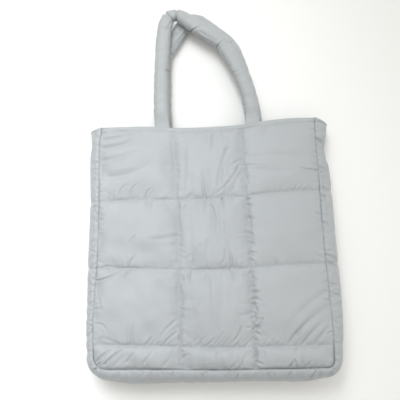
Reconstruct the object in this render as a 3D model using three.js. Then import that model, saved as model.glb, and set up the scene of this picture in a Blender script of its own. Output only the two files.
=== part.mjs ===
import * as THREE from 'three';

// Quilted tote bag with two padded handles, lying on its back panel.
// Millimetres, +Z up, +X to the right and +Y from the base to the mouth.
// The origin lies on the floor, under the middle of the back panel.

// Driving dimensions of the bag's body
const PANEL_WIDTH = 315;
const PANEL_HEIGHT = 350;
const FRONT_SEAM_HEIGHT = 62;
const CORNER_RADIUS_LEFT = 18;
const CORNER_RADIUS_RIGHT = 11;
const MOUTH_SWAY = 10;
const PANEL_CROWN = 6;

// Driving dimensions of the padded walls
const QUILTED_WALL = 3;
const PUFF_OUT = 8;
const PUFF_IN = 5;
const HEM_DEPTH = 10;
const GUSSET_BULGE = 24;
const GUSSET_PUFF = 8;
const GUSSET_TIP_DROP = 7;

// Driving dimensions of the handles
const HANDLE_DROP = 176;
const HANDLE_WIDTH = 22;
const HANDLE_THICKNESS = 17;
const TAB_THICKNESS = 3;
const TAB_LENGTH = 9;

// Clearance between sewn pieces, and how much of a cell's swell is left where the bag's weight rests on it
const SEAM_GAP = 0.3;
const RESTING_SHARE = 0.75;

// How full the padding is: the sharpness of a cell's rise from its stitches, the swell of the short row at the base,
// and the swell of the gusset beside the level quilting lines, at its corners and along the base
const SWELL_SHARPNESS = 3.2;
const SHORT_ROW_SWELL = 0.7;
const GUSSET_LINE_SWELL = 0.35;
const GUSSET_CORNER_SWELL = 0.6;
const GUSSET_BASE_SWELL = 0.9;

// Share of the panel's height over which the crown fades towards the mouth, how square a handle's section is, and
// how many widths a handle takes to fill out past its tab
const CROWN_REACH = 0.83;
const HANDLE_SQUARENESS = 0.8;
const HANDLE_TAPER = 1.2;

const BACK_SEAM_HEIGHT = QUILTED_WALL / 2 + PUFF_OUT * RESTING_SHARE;

// Side seams from the base (at 0) to the mouth (at 1). left and right are shares of half the panel's width, and
// rise is a share of the front seam's height.
const SIDE_SECTIONS = [
  { at: 0.00, left: 1.015, right: 1.025, rise: 1.00 },
  { at: 0.14, left: 1.034, right: 1.030, rise: 0.97 },
  { at: 0.28, left: 1.022, right: 1.015, rise: 0.92 },
  { at: 0.50, left: 1.000, right: 1.000, rise: 0.80 },
  { at: 0.80, left: 1.002, right: 0.992, rise: 0.65 },
  { at: 0.93, left: 1.000, right: 0.985, rise: 0.59 },
  { at: 1.00, left: 0.985, right: 0.997, rise: 0.55 },
];

// Mouth and base edges from left (at -1) to right (at 1), as shares of the mouth's sway off a straight line.
const EDGE_SECTIONS = [
  { at: -1.00, mouth: -0.50, base: 0.25 },
  { at: -0.60, mouth: -0.48, base: 0.18 },
  { at: -0.26, mouth: -0.80, base: 0.05 },
  { at: 0.05, mouth: -0.72, base: -0.12 },
  { at: 0.30, mouth: -0.50, base: -0.12 },
  { at: 0.52, mouth: 0.00, base: -0.12 },
  { at: 0.78, mouth: 0.34, base: -0.14 },
  { at: 1.00, mouth: 0.36, base: -0.10 },
];

// Upright quilting lines, as shares of half the panel's width, at three heights.
const QUILT_COLUMNS = [
  { at: 0.0, first: -0.265, second: 0.345 },
  { at: 0.5, first: -0.285, second: 0.340 },
  { at: 1.0, first: -0.318, second: 0.308 },
];

// Level quilting lines, as shares of the panel's height, at the left, the middle and the right.
const QUILT_ROWS = [
  { at: -1, low: 0.095, middle: 0.396, high: 0.674 },
  { at: 0, low: 0.085, middle: 0.390, high: 0.685 },
  { at: 1, low: 0.084, middle: 0.394, high: 0.690 },
];

// Gusset along the U of the seams: 0 to 1 down the left side, 1 to 2 along the base, 2 to 3 up the right side.
// bulge is a share of the gusset's bulge past the seams.
const GUSSET_SECTIONS = [
  { at: 0.00, bulge: 0.83 },
  { at: 0.07, bulge: 0.60 },
  { at: 0.14, bulge: 0.67 },
  { at: 0.30, bulge: 0.63 },
  { at: 0.55, bulge: 0.71 },
  { at: 0.75, bulge: 0.58 },
  { at: 0.92, bulge: 0.54 },
  { at: 1.03, bulge: 0.66 },
  { at: 1.15, bulge: 0.95 },
  { at: 1.62, bulge: 0.98 },
  { at: 1.85, bulge: 0.88 },
  { at: 1.98, bulge: 0.63 },
  { at: 2.06, bulge: 0.76 },
  { at: 2.25, bulge: 0.93 },
  { at: 2.55, bulge: 0.92 },
  { at: 2.78, bulge: 0.80 },
  { at: 2.86, bulge: 0.60 },
  { at: 2.93, bulge: 0.78 },
  { at: 3.00, bulge: 0.86 },
];

// Main folds of the front panel. across is a share of half its width, up of its height, and width and depth are
// shares of the swell of a cell.
const FRONT_FOLDS = [
  { fromAcross: -0.95, fromUp: 0.02, toAcross: -0.72, toUp: 0.10, width: 0.70, depth: 0.30 },
  { fromAcross: -0.98, fromUp: 0.16, toAcross: -0.86, toUp: 0.13, width: 0.80, depth: 0.28 },
  { fromAcross: -0.90, fromUp: 0.37, toAcross: -0.66, toUp: 0.33, width: 0.80, depth: 0.20 },
  { fromAcross: 0.02, fromUp: 0.64, toAcross: 0.08, toUp: 0.52, width: 0.80, depth: 0.24 },
  { fromAcross: 0.20, fromUp: 0.46, toAcross: 0.26, toUp: 0.40, width: 0.70, depth: 0.24 },
  { fromAcross: 0.96, fromUp: 0.17, toAcross: 0.70, toUp: 0.11, width: 1.00, depth: 0.28 },
  { fromAcross: 0.99, fromUp: 0.82, toAcross: 0.80, toUp: 0.78, width: 0.80, depth: 0.20 },
];

// Handles from one end at the mouth to the other. across is a share of half the panel's width, reach a share of the
// handle's drop past the mouth, and width a share of the handle's width.
const FRONT_HANDLE = [
  { across: -0.437, reach: 0.000, width: 1.00 },
  { across: -0.435, reach: 0.148, width: 1.00 },
  { across: -0.433, reach: 0.351, width: 1.00 },
  { across: -0.429, reach: 0.493, width: 0.94 },
  { across: -0.416, reach: 0.664, width: 1.00 },
  { across: -0.401, reach: 0.815, width: 0.98 },
  { across: -0.380, reach: 0.913, width: 0.92 },
  { across: -0.342, reach: 0.963, width: 0.84 },
  { across: -0.274, reach: 0.977, width: 0.72 },
  { across: -0.212, reach: 0.948, width: 0.92 },
  { across: -0.114, reach: 0.885, width: 1.00 },
  { across: 0.009, reach: 0.812, width: 1.02 },
  { across: 0.122, reach: 0.740, width: 0.98 },
  { across: 0.195, reach: 0.652, width: 1.00 },
  { across: 0.305, reach: 0.461, width: 1.00 },
  { across: 0.383, reach: 0.273, width: 1.00 },
  { across: 0.415, reach: 0.105, width: 1.00 },
  { across: 0.418, reach: 0.000, width: 1.00 },
];
const BACK_HANDLE = [
  { across: -0.415, reach: 0.000, width: 1.00 },
  { across: -0.415, reach: 0.178, width: 1.00 },
  { across: -0.412, reach: 0.384, width: 1.00 },
  { across: -0.409, reach: 0.539, width: 1.00 },
  { across: -0.385, reach: 0.666, width: 1.00 },
  { across: -0.312, reach: 0.775, width: 1.00 },
  { across: -0.221, reach: 0.912, width: 1.00 },
  { across: -0.170, reach: 0.959, width: 0.94 },
  { across: -0.102, reach: 0.965, width: 0.94 },
  { across: -0.044, reach: 0.941, width: 1.00 },
  { across: 0.101, reach: 0.838, width: 1.00 },
  { across: 0.197, reach: 0.767, width: 0.98 },
  { across: 0.259, reach: 0.691, width: 1.00 },
  { across: 0.337, reach: 0.497, width: 1.00 },
  { across: 0.400, reach: 0.305, width: 1.00 },
  { across: 0.438, reach: 0.134, width: 1.00 },
  { across: 0.446, reach: 0.000, width: 1.00 },
];

// Facets: where a cell, the short base row and a handle are sampled
const CELL_STEPS = [0, 0.07, 0.20, 0.38, 0.62, 0.80, 0.93, 1];
const SHORT_CELL_STEPS = [0, 0.18, 0.50, 0.82, 1];
const GUSSET_STEPS = 8;
const HANDLE_STEPS = 42;
const HANDLE_SIDES = 10;

// Reads one column of a table at a place between its rows, on a smooth curve through them.
function along(table, column, at) {
  const last = table.length - 1;
  let row = 0;
  while (row < last - 1 && at > table[row + 1].at) row += 1;
  const slope = (index) => {
    const before = table[Math.max(index - 1, 0)];
    const after = table[Math.min(index + 1, last)];
    return (after[column] - before[column]) / (after.at - before.at);
  };
  const from = table[row];
  const to = table[row + 1];
  const span = to.at - from.at;
  const share = THREE.MathUtils.clamp((at - from.at) / span, 0, 1);
  const rest = 1 - share;
  return from[column] * rest * rest * (1 + 2 * share)
    + slope(row) * span * share * rest * rest
    + to[column] * share * share * (3 - 2 * share)
    - slope(row + 1) * span * share * share * rest;
}

// Turns the square corner of a panel's sheet into a round one. across runs from -1 to 1 and up from 0 to 1.
function roundCorner(across, up) {
  const radius = across < 0 ? CORNER_RADIUS_LEFT : CORNER_RADIUS_RIGHT;
  const fromSide = (1 - Math.abs(across)) * PANEL_WIDTH / 2;
  const fromBase = up * PANEL_HEIGHT;
  const inSide = radius - fromSide;
  const inBase = radius - fromBase;
  if (inSide <= 0 || inBase <= 0) return { across, up };
  const pull = Math.max(inSide, inBase) / Math.hypot(inSide, inBase);
  return {
    across: Math.sign(across) * (1 - (radius - inSide * pull) / (PANEL_WIDTH / 2)),
    up: (radius - inBase * pull) / PANEL_HEIGHT,
  };
}

// Plan of both panels: the place on the floor below a point of the sheet.
function panelPlan(acrossShare, upShare) {
  const { across, up } = roundCorner(acrossShare, upShare);
  const left = -along(SIDE_SECTIONS, 'left', up) * PANEL_WIDTH / 2;
  const right = along(SIDE_SECTIONS, 'right', up) * PANEL_WIDTH / 2;
  const base = -PANEL_HEIGHT / 2 + along(EDGE_SECTIONS, 'base', across) * MOUTH_SWAY;
  const mouth = PANEL_HEIGHT / 2 + along(EDGE_SECTIONS, 'mouth', across) * MOUTH_SWAY;
  return new THREE.Vector2(
    THREE.MathUtils.lerp(left, right, (across + 1) / 2),
    THREE.MathUtils.lerp(base, mouth, up),
  );
}

// Height over the floor of the middle of the front wall.
function frontHeight(across, up) {
  const seam = along(SIDE_SECTIONS, 'rise', up) * FRONT_SEAM_HEIGHT;
  const crown = PANEL_CROWN * (1 - across * across) * Math.sin(Math.PI * Math.min(up / CROWN_REACH, 1));
  return seam + crown;
}

// Cross-section of a padded cell, from 0 at its stitched sides to 1 in its middle.
function swell(share) {
  return 1 - Math.abs(2 * share - 1) ** SWELL_SHARPNESS;
}

// Where the rows and columns of the panels' sheets lie: the two shares and the swell of the padding there.
function panelColumns() {
  const columns = [];
  for (let cell = 0; cell < 3; cell += 1) {
    for (const step of CELL_STEPS) {
      if (cell > 0 && step === 0) continue;
      columns.push({ cell, step, swell: swell(step) });
    }
  }
  return columns;
}

function panelRows() {
  const rows = [];
  const add = (cell, steps, height) => {
    for (const step of steps) {
      if (cell > 0 && step === 0) continue;
      rows.push({ cell, step, swell: swell(step) * height });
    }
  };
  add(0, SHORT_CELL_STEPS, SHORT_ROW_SWELL);
  add(1, CELL_STEPS, 1);
  add(2, CELL_STEPS, 1);
  add(3, CELL_STEPS, 1);
  add(4, [0, 1], 0);
  return rows;
}

const COLUMNS = panelColumns();
const ROWS = panelRows();

// The share of the panel's width at a column's step, at a given height, and of its height at a row's step.
function columnShare(column, up) {
  const lines = [-1, along(QUILT_COLUMNS, 'first', up), along(QUILT_COLUMNS, 'second', up), 1];
  return THREE.MathUtils.lerp(lines[column.cell], lines[column.cell + 1], column.step);
}

function rowShare(row, across) {
  const lines = [
    0,
    along(QUILT_ROWS, 'low', across),
    along(QUILT_ROWS, 'middle', across),
    along(QUILT_ROWS, 'high', across),
    1 - HEM_DEPTH / PANEL_HEIGHT,
    1,
  ];
  return THREE.MathUtils.lerp(lines[row.cell], lines[row.cell + 1], row.step);
}

// How far the front's folds push its outer face in at a point of the sheet.
function foldDepth(across, up) {
  const point = new THREE.Vector2(across * PANEL_WIDTH / 2, up * PANEL_HEIGHT);
  let depth = 0;
  for (const fold of FRONT_FOLDS) {
    const from = new THREE.Vector2(fold.fromAcross * PANEL_WIDTH / 2, fold.fromUp * PANEL_HEIGHT);
    const to = new THREE.Vector2(fold.toAcross * PANEL_WIDTH / 2, fold.toUp * PANEL_HEIGHT);
    const run = to.clone().sub(from);
    const share = THREE.MathUtils.clamp(point.clone().sub(from).dot(run) / run.lengthSq(), 0, 1);
    const distance = point.distanceTo(from.clone().addScaledVector(run, share));
    depth += fold.depth * PUFF_OUT * Math.exp(-((distance / (fold.width * PUFF_OUT)) ** 2));
  }
  return depth;
}

// A wall between two sheets of points with the same rows and columns, closed round its edge. Seen from outside,
// a row runs to the right and the rows follow each other upwards.
function wallGeometry(outer, inner) {
  const rowCount = outer.length;
  const columnCount = outer[0].length;
  const sheetSize = rowCount * columnCount;
  const points = [...outer.flat(), ...inner.flat()];
  const faces = [];
  const quad = (a, b, c, d) => {
    if (points[a].distanceTo(points[c]) <= points[b].distanceTo(points[d])) faces.push(a, b, c, a, c, d);
    else faces.push(a, b, d, b, c, d);
  };
  const outerIndex = (row, column) => row * columnCount + column;
  const innerIndex = (row, column) => sheetSize + outerIndex(row, column);
  for (let row = 0; row < rowCount - 1; row += 1) {
    for (let column = 0; column < columnCount - 1; column += 1) {
      quad(
        outerIndex(row, column), outerIndex(row, column + 1),
        outerIndex(row + 1, column + 1), outerIndex(row + 1, column),
      );
      quad(
        innerIndex(row, column), innerIndex(row + 1, column),
        innerIndex(row + 1, column + 1), innerIndex(row, column + 1),
      );
    }
  }
  const rim = [];
  for (let column = 0; column < columnCount; column += 1) rim.push([0, column]);
  for (let row = 1; row < rowCount; row += 1) rim.push([row, columnCount - 1]);
  for (let column = columnCount - 2; column >= 0; column -= 1) rim.push([rowCount - 1, column]);
  for (let row = rowCount - 2; row > 0; row -= 1) rim.push([row, 0]);
  rim.forEach(([row, column], place) => {
    const [nextRow, nextColumn] = rim[(place + 1) % rim.length];
    quad(
      innerIndex(row, column), innerIndex(nextRow, nextColumn),
      outerIndex(nextRow, nextColumn), outerIndex(row, column),
    );
  });
  return geometryFrom(points, faces);
}

// A tube through rings of points, each running anticlockwise seen against the way along the tube, with flat ends.
function tubeGeometry(rings) {
  const sides = rings[0].length;
  const points = rings.flat();
  const faces = [];
  for (let ring = 0; ring < rings.length - 1; ring += 1) {
    for (let side = 0; side < sides; side += 1) {
      const next = (side + 1) % sides;
      const a = ring * sides + side;
      const b = ring * sides + next;
      faces.push(a, b, b + sides, a, b + sides, a + sides);
    }
  }
  const end = (rings.length - 1) * sides;
  for (let side = 1; side < sides - 1; side += 1) {
    faces.push(0, side + 1, side);
    faces.push(end, end + side, end + side + 1);
  }
  return geometryFrom(points, faces);
}

function geometryFrom(points, faces) {
  const geometry = new THREE.BufferGeometry();
  geometry.setAttribute('position', new THREE.Float32BufferAttribute(points.flatMap((p) => p.toArray()), 3));
  geometry.setIndex(faces);
  geometry.computeVertexNormals();
  return geometry;
}

// Front panel: a quilted wall from the base seam to the mouth, with a flat hem along the mouth.
function frontPanelGeometry() {
  const outer = [];
  const inner = [];
  for (const row of ROWS) {
    const outerRow = [];
    const innerRow = [];
    for (const column of COLUMNS) {
      const roughUp = rowShare(row, 0);
      const across = columnShare(column, roughUp);
      const up = rowShare(row, across);
      const plan = panelPlan(across, up);
      const height = frontHeight(across, up);
      const puff = row.swell * column.swell;
      const out = puff * (PUFF_OUT - foldDepth(across, up));
      outerRow.push(new THREE.Vector3(plan.x, plan.y, height + QUILTED_WALL / 2 + out));
      innerRow.push(new THREE.Vector3(plan.x, plan.y, height - QUILTED_WALL / 2 - puff * PUFF_IN));
    }
    outer.push(outerRow);
    inner.push(innerRow);
  }
  return wallGeometry(outer, inner);
}

// Back panel: the same quilted wall lying on the floor, with its cells pressed flat where they rest.
function backPanelGeometry() {
  const outer = [];
  const inner = [];
  for (const row of ROWS) {
    const outerRow = [];
    const innerRow = [];
    for (const column of [...COLUMNS].reverse()) {
      const roughUp = rowShare(row, 0);
      const across = columnShare(column, roughUp);
      const up = rowShare(row, across);
      const plan = panelPlan(across, up);
      const puff = row.swell * column.swell;
      const low = Math.max(BACK_SEAM_HEIGHT - QUILTED_WALL / 2 - puff * PUFF_OUT, 0);
      outerRow.push(new THREE.Vector3(plan.x, plan.y, low));
      innerRow.push(new THREE.Vector3(plan.x, plan.y, BACK_SEAM_HEIGHT + QUILTED_WALL / 2 + puff * PUFF_IN));
    }
    outer.push(outerRow);
    inner.push(innerRow);
  }
  return wallGeometry(outer, inner);
}

// Stations of the gusset: the edge points of the panels' sheets, round the U of the seams.
function gussetStations() {
  const stations = [];
  const sideSwell = (row) => {
    if (row.cell === 4) return 0;
    return Math.max(row.swell, row.cell === 0 ? GUSSET_CORNER_SWELL : GUSSET_LINE_SWELL);
  };
  for (const row of [...ROWS].reverse()) {
    const up = rowShare(row, -1);
    stations.push({ across: -1, up, at: 1 - up, swell: sideSwell(row) });
  }
  for (const column of COLUMNS.slice(1, -1)) {
    const across = columnShare(column, 0);
    stations.push({ across, up: 0, at: 1 + (across + 1) / 2, swell: GUSSET_BASE_SWELL });
  }
  for (const row of ROWS) {
    const up = rowShare(row, 1);
    stations.push({ across: 1, up, at: 2 + up, swell: sideSwell(row) });
  }
  return stations;
}

// Gusset: one padded band round the left side, the base and the right side, rolled outwards between the seams.
function gussetGeometry() {
  const stations = gussetStations();
  const seams = stations.map((station) => panelPlan(station.across, station.up));
  const outer = [];
  const inner = [];
  stations.forEach((station, index) => {
    const before = seams[Math.max(index - 1, 0)];
    const after = seams[Math.min(index + 1, seams.length - 1)];
    const run = after.clone().sub(before).normalize();
    const outwards = new THREE.Vector2(run.y, -run.x);
    const frontSeam = frontHeight(station.across, station.up);
    const middle = (frontSeam + BACK_SEAM_HEIGHT) / 2;
    const halfHeight = (frontSeam - BACK_SEAM_HEIGHT) / 2;
    const bulge = along(GUSSET_SECTIONS, 'bulge', station.at) * GUSSET_BULGE;
    const atMouth = station.up === 1;
    const outerRow = [];
    const innerRow = [];
    for (let step = 0; step <= GUSSET_STEPS; step += 1) {
      const angle = Math.PI * (0.5 - step / GUSSET_STEPS);
      const thickness = QUILTED_WALL + GUSSET_PUFF * station.swell * swell(step / GUSSET_STEPS);
      const fullest = QUILTED_WALL + GUSSET_PUFF * station.swell;
      const drop = atMouth ? GUSSET_TIP_DROP * Math.cos(angle) : 0;
      const place = (side) => {
        const reach = (bulge - fullest / 2 + side * thickness / 2) * Math.cos(angle) + SEAM_GAP;
        const lift = (halfHeight + side * thickness / 2) * Math.sin(angle);
        const plan = seams[index].clone().addScaledVector(outwards, reach);
        return new THREE.Vector3(plan.x, plan.y - drop, middle + lift);
      };
      outerRow.push(place(1));
      innerRow.push(place(-1));
    }
    outer.push(outerRow);
    inner.push(innerRow);
  });
  return wallGeometry(outer, inner);
}

// Middle line of a handle: from a tab under the hem, round its loop and back under the hem. tabHeight gives the
// height of a tab under the hem, and restHeight is the height of the tube's middle past the mouth.
function handleLine(handle, tabHeight, restHeight) {
  const tab = (section) => {
    const mouth = panelPlan(section.across, 1);
    const insideHeight = tabHeight(section.across, 1 - TAB_LENGTH / PANEL_HEIGHT);
    return [
      new THREE.Vector3(mouth.x, mouth.y - TAB_LENGTH, insideHeight),
      new THREE.Vector3(mouth.x, mouth.y, tabHeight(section.across, 1)),
    ];
  };
  const loop = handle.slice(1, -1).map((section) => new THREE.Vector3(
    section.across * PANEL_WIDTH / 2,
    PANEL_HEIGHT / 2 + section.reach * HANDLE_DROP,
    restHeight,
  ));
  const points = [...tab(handle[0]), ...loop, ...tab(handle[handle.length - 1]).reverse()];
  return new THREE.CatmullRomCurve3(points, false, 'centripetal');
}

// Padded handle: a tube of oval section that flattens into a tab at each end and goes no lower than the floor.
function handleGeometry(handle, tabHeight, restHeight) {
  const line = handleLine(handle, tabHeight, restHeight);
  const length = line.getLength();
  const lastPoint = handle.length + 1;
  const widths = handle.map((section, index) => ({ at: (index + 1) / lastPoint, width: section.width }));
  const rings = [];
  for (let step = 0; step <= HANDLE_STEPS; step += 1) {
    const share = step / HANDLE_STEPS;
    const centre = line.getPointAt(share);
    const forwards = line.getTangentAt(share);
    const sideways = new THREE.Vector3(-forwards.y, forwards.x, 0).normalize();
    const upwards = new THREE.Vector3().crossVectors(forwards, sideways);
    const fromEnd = Math.min(share, 1 - share) * length;
    const filling = THREE.MathUtils.smoothstep(fromEnd, TAB_LENGTH, TAB_LENGTH + HANDLE_WIDTH * HANDLE_TAPER);
    const thickness = THREE.MathUtils.lerp(TAB_THICKNESS, HANDLE_THICKNESS, filling);
    const width = HANDLE_WIDTH * THREE.MathUtils.lerp(1, along(widths, 'width', line.getUtoTmapping(share)), filling);
    const ring = [];
    for (let side = 0; side < HANDLE_SIDES; side += 1) {
      const angle = 2 * Math.PI * (side + 0.5) / HANDLE_SIDES;
      const across = Math.sign(Math.cos(angle)) * Math.abs(Math.cos(angle)) ** HANDLE_SQUARENESS * width / 2;
      const up = Math.sign(Math.sin(angle)) * Math.abs(Math.sin(angle)) ** HANDLE_SQUARENESS * thickness / 2;
      const point = centre.clone().addScaledVector(sideways, across).addScaledVector(upwards, up);
      point.z = Math.max(point.z, 0);
      ring.push(point);
    }
    rings.push(ring);
  }
  return tubeGeometry(rings);
}

const SHELL_COLOUR = new THREE.Color(0xbec3c4);
const GUSSET_COLOUR = new THREE.Color(0xb4b9ba);
const HANDLE_COLOUR = new THREE.Color(0xc3c7c8);

function clothMaterial(colour) {
  return new THREE.MeshStandardMaterial({ color: colour, roughness: 0.62, metalness: 0 });
}

function addPiece(group, name, geometry, colour) {
  const mesh = new THREE.Mesh(geometry, clothMaterial(colour));
  mesh.name = name;
  group.add(mesh);
}

const toteBag = new THREE.Group();

addPiece(toteBag, 'front_panel', frontPanelGeometry(), SHELL_COLOUR);
addPiece(toteBag, 'back_panel', backPanelGeometry(), SHELL_COLOUR);
addPiece(toteBag, 'gusset', gussetGeometry(), GUSSET_COLOUR);

const TAB_OFFSET = QUILTED_WALL / 2 + SEAM_GAP + TAB_THICKNESS / 2;
const BACK_HANDLE_HEIGHT = HANDLE_THICKNESS / 2;
const FRONT_HANDLE_HEIGHT = BACK_HANDLE_HEIGHT + HANDLE_THICKNESS + SEAM_GAP;

addPiece(
  toteBag,
  'front_handle',
  handleGeometry(FRONT_HANDLE, (across, up) => frontHeight(across, up) - TAB_OFFSET, FRONT_HANDLE_HEIGHT),
  HANDLE_COLOUR,
);
addPiece(
  toteBag,
  'back_handle',
  handleGeometry(BACK_HANDLE, () => BACK_SEAM_HEIGHT + TAB_OFFSET, BACK_HANDLE_HEIGHT),
  HANDLE_COLOUR,
);

export default toteBag;
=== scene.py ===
"""Looks of a quilted tote bag that lies on its back: padded walls, a rolled gusset and two padded handles."""

import math

import bmesh
import bpy
import numpy as np
from bpy.props import FloatProperty, FloatVectorProperty, PointerProperty
from mathutils import Matrix, Vector


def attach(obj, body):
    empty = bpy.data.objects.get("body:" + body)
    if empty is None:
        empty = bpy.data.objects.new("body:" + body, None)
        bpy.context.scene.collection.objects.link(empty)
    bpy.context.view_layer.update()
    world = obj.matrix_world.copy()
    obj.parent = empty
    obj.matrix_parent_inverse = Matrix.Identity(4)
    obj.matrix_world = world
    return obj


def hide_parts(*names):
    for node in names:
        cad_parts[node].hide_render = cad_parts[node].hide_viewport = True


bl_info = {
    "name": "Quilted Tote Bag",
    "version": (1, 0, 0),
    "blender": (4, 5, 0),
    "location": "3D View > Sidebar > Tote",
    "description": "Sews the padded pieces of a quilted tote bag round its CAD frame",
    "category": "Object",
}

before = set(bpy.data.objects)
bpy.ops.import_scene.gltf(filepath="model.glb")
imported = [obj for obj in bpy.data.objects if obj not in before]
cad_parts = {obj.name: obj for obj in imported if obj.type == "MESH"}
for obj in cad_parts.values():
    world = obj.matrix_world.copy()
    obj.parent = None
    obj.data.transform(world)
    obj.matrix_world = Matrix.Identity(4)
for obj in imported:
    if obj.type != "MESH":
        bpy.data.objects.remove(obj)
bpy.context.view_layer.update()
MM = 0.001
BODY = "root"

# The photo's camera: its angles in degrees, its distance and target in metres, its lens and sensor in
# millimetres
CAMERA = {"elevation": 80.5, "roll": -1.2, "distance": 0.975, "lens": 60, "sensor": 36}
CAMERA_TARGET = Vector((-0.014, 0.062, 0.020))

# Pixels on a side of the square photo, and how many of them a millimetre of the front takes
PHOTO_PIXELS = 400
PIXELS_PER_MM = 0.70

# Side seams from the base (at 0) to the mouth (at 1). left and right are shares of half the panel's width,
# and rise is a share of the front seam's height.
SIDE_SECTIONS = [
    {"at": 0.00, "left": 1.015, "right": 1.025, "rise": 1.00},
    {"at": 0.14, "left": 1.034, "right": 1.030, "rise": 0.97},
    {"at": 0.28, "left": 1.022, "right": 1.015, "rise": 0.92},
    {"at": 0.50, "left": 1.000, "right": 1.000, "rise": 0.80},
    {"at": 0.80, "left": 1.002, "right": 0.992, "rise": 0.65},
    {"at": 0.93, "left": 1.000, "right": 0.985, "rise": 0.59},
    {"at": 1.00, "left": 0.985, "right": 0.997, "rise": 0.55},
]

# Mouth and base edges from left (at -1) to right (at 1), as shares of the mouth's sway off a straight line.
EDGE_SECTIONS = [
    {"at": -1.00, "mouth": -0.50, "base": 0.25},
    {"at": -0.60, "mouth": -0.48, "base": 0.18},
    {"at": -0.26, "mouth": -0.80, "base": 0.05},
    {"at": 0.05, "mouth": -0.72, "base": -0.12},
    {"at": 0.30, "mouth": -0.50, "base": -0.12},
    {"at": 0.52, "mouth": 0.00, "base": -0.12},
    {"at": 0.78, "mouth": 0.34, "base": -0.14},
    {"at": 1.00, "mouth": 0.36, "base": -0.10},
]

# Upright quilting lines, as shares of half the panel's width, at three heights
QUILT_COLUMNS = [
    {"at": 0.0, "first": -0.265, "second": 0.345},
    {"at": 0.5, "first": -0.285, "second": 0.340},
    {"at": 1.0, "first": -0.318, "second": 0.308},
]

# Level quilting lines, as shares of the panel's height, at the left, the middle and the right
QUILT_ROWS = [
    {"at": -1.0, "low": 0.095, "middle": 0.396, "high": 0.674},
    {"at": 0.0, "low": 0.085, "middle": 0.390, "high": 0.685},
    {"at": 1.0, "low": 0.084, "middle": 0.394, "high": 0.690},
]

# Cells of a panel's flat sheet between those lines, as shares of its width from the left and of its height
# from the base, with the hem last
FLAT_CELL_WIDTHS = np.array([0.358, 0.312, 0.330])
FLAT_CELL_HEIGHTS = np.array([0.090, 0.302, 0.292, 0.296, 0.020])

# Bulge of the gusset along the U of the seams, as a share of the largest: 0 to 1 down the left side, 1 to 2
# along the base and 2 to 3 up the right side.
GUSSET_SECTIONS = [
    {"at": 0.00, "bulge": 0.83},
    {"at": 0.07, "bulge": 0.60},
    {"at": 0.14, "bulge": 0.67},
    {"at": 0.30, "bulge": 0.63},
    {"at": 0.55, "bulge": 0.69},
    {"at": 0.75, "bulge": 0.54},
    {"at": 0.92, "bulge": 0.51},
    {"at": 1.03, "bulge": 0.66},
    {"at": 1.15, "bulge": 0.90},
    {"at": 1.30, "bulge": 0.84},
    {"at": 1.46, "bulge": 0.79},
    {"at": 1.62, "bulge": 0.75},
    {"at": 1.76, "bulge": 0.78},
    {"at": 1.90, "bulge": 0.80},
    {"at": 1.98, "bulge": 0.62},
    {"at": 2.06, "bulge": 0.68},
    {"at": 2.25, "bulge": 0.88},
    {"at": 2.55, "bulge": 0.88},
    {"at": 2.78, "bulge": 0.80},
    {"at": 2.86, "bulge": 0.60},
    {"at": 2.93, "bulge": 0.78},
    {"at": 3.00, "bulge": 0.86},
]

# Handles from one end at the mouth to the other. across is a share of half the panel's width, reach a share
# of the handle's drop past the mouth, and width a share of the handle's width.
FRONT_HANDLE = [
    {"across": -0.437, "reach": 0.000, "width": 1.00},
    {"across": -0.435, "reach": 0.148, "width": 1.00},
    {"across": -0.433, "reach": 0.351, "width": 1.00},
    {"across": -0.429, "reach": 0.493, "width": 0.94},
    {"across": -0.416, "reach": 0.664, "width": 1.00},
    {"across": -0.401, "reach": 0.815, "width": 0.98},
    {"across": -0.380, "reach": 0.913, "width": 0.92},
    {"across": -0.342, "reach": 0.963, "width": 0.84},
    {"across": -0.274, "reach": 0.977, "width": 0.72},
    {"across": -0.212, "reach": 0.948, "width": 0.92},
    {"across": -0.114, "reach": 0.885, "width": 1.00},
    {"across": 0.009, "reach": 0.812, "width": 1.02},
    {"across": 0.122, "reach": 0.740, "width": 0.98},
    {"across": 0.195, "reach": 0.652, "width": 1.00},
    {"across": 0.305, "reach": 0.461, "width": 1.00},
    {"across": 0.383, "reach": 0.273, "width": 1.00},
    {"across": 0.415, "reach": 0.105, "width": 1.00},
    {"across": 0.418, "reach": 0.000, "width": 1.00},
]
BACK_HANDLE = [
    {"across": -0.415, "reach": 0.000, "width": 1.00},
    {"across": -0.415, "reach": 0.178, "width": 1.00},
    {"across": -0.412, "reach": 0.384, "width": 1.00},
    {"across": -0.409, "reach": 0.539, "width": 1.00},
    {"across": -0.385, "reach": 0.666, "width": 1.00},
    {"across": -0.312, "reach": 0.775, "width": 1.00},
    {"across": -0.221, "reach": 0.912, "width": 1.00},
    {"across": -0.170, "reach": 0.959, "width": 0.94},
    {"across": -0.102, "reach": 0.965, "width": 0.94},
    {"across": -0.044, "reach": 0.941, "width": 1.00},
    {"across": 0.101, "reach": 0.838, "width": 1.00},
    {"across": 0.197, "reach": 0.767, "width": 0.98},
    {"across": 0.259, "reach": 0.691, "width": 1.00},
    {"across": 0.337, "reach": 0.497, "width": 1.00},
    {"across": 0.400, "reach": 0.305, "width": 1.00},
    {"across": 0.438, "reach": 0.134, "width": 1.00},
    {"across": 0.446, "reach": 0.000, "width": 1.00},
]


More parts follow.
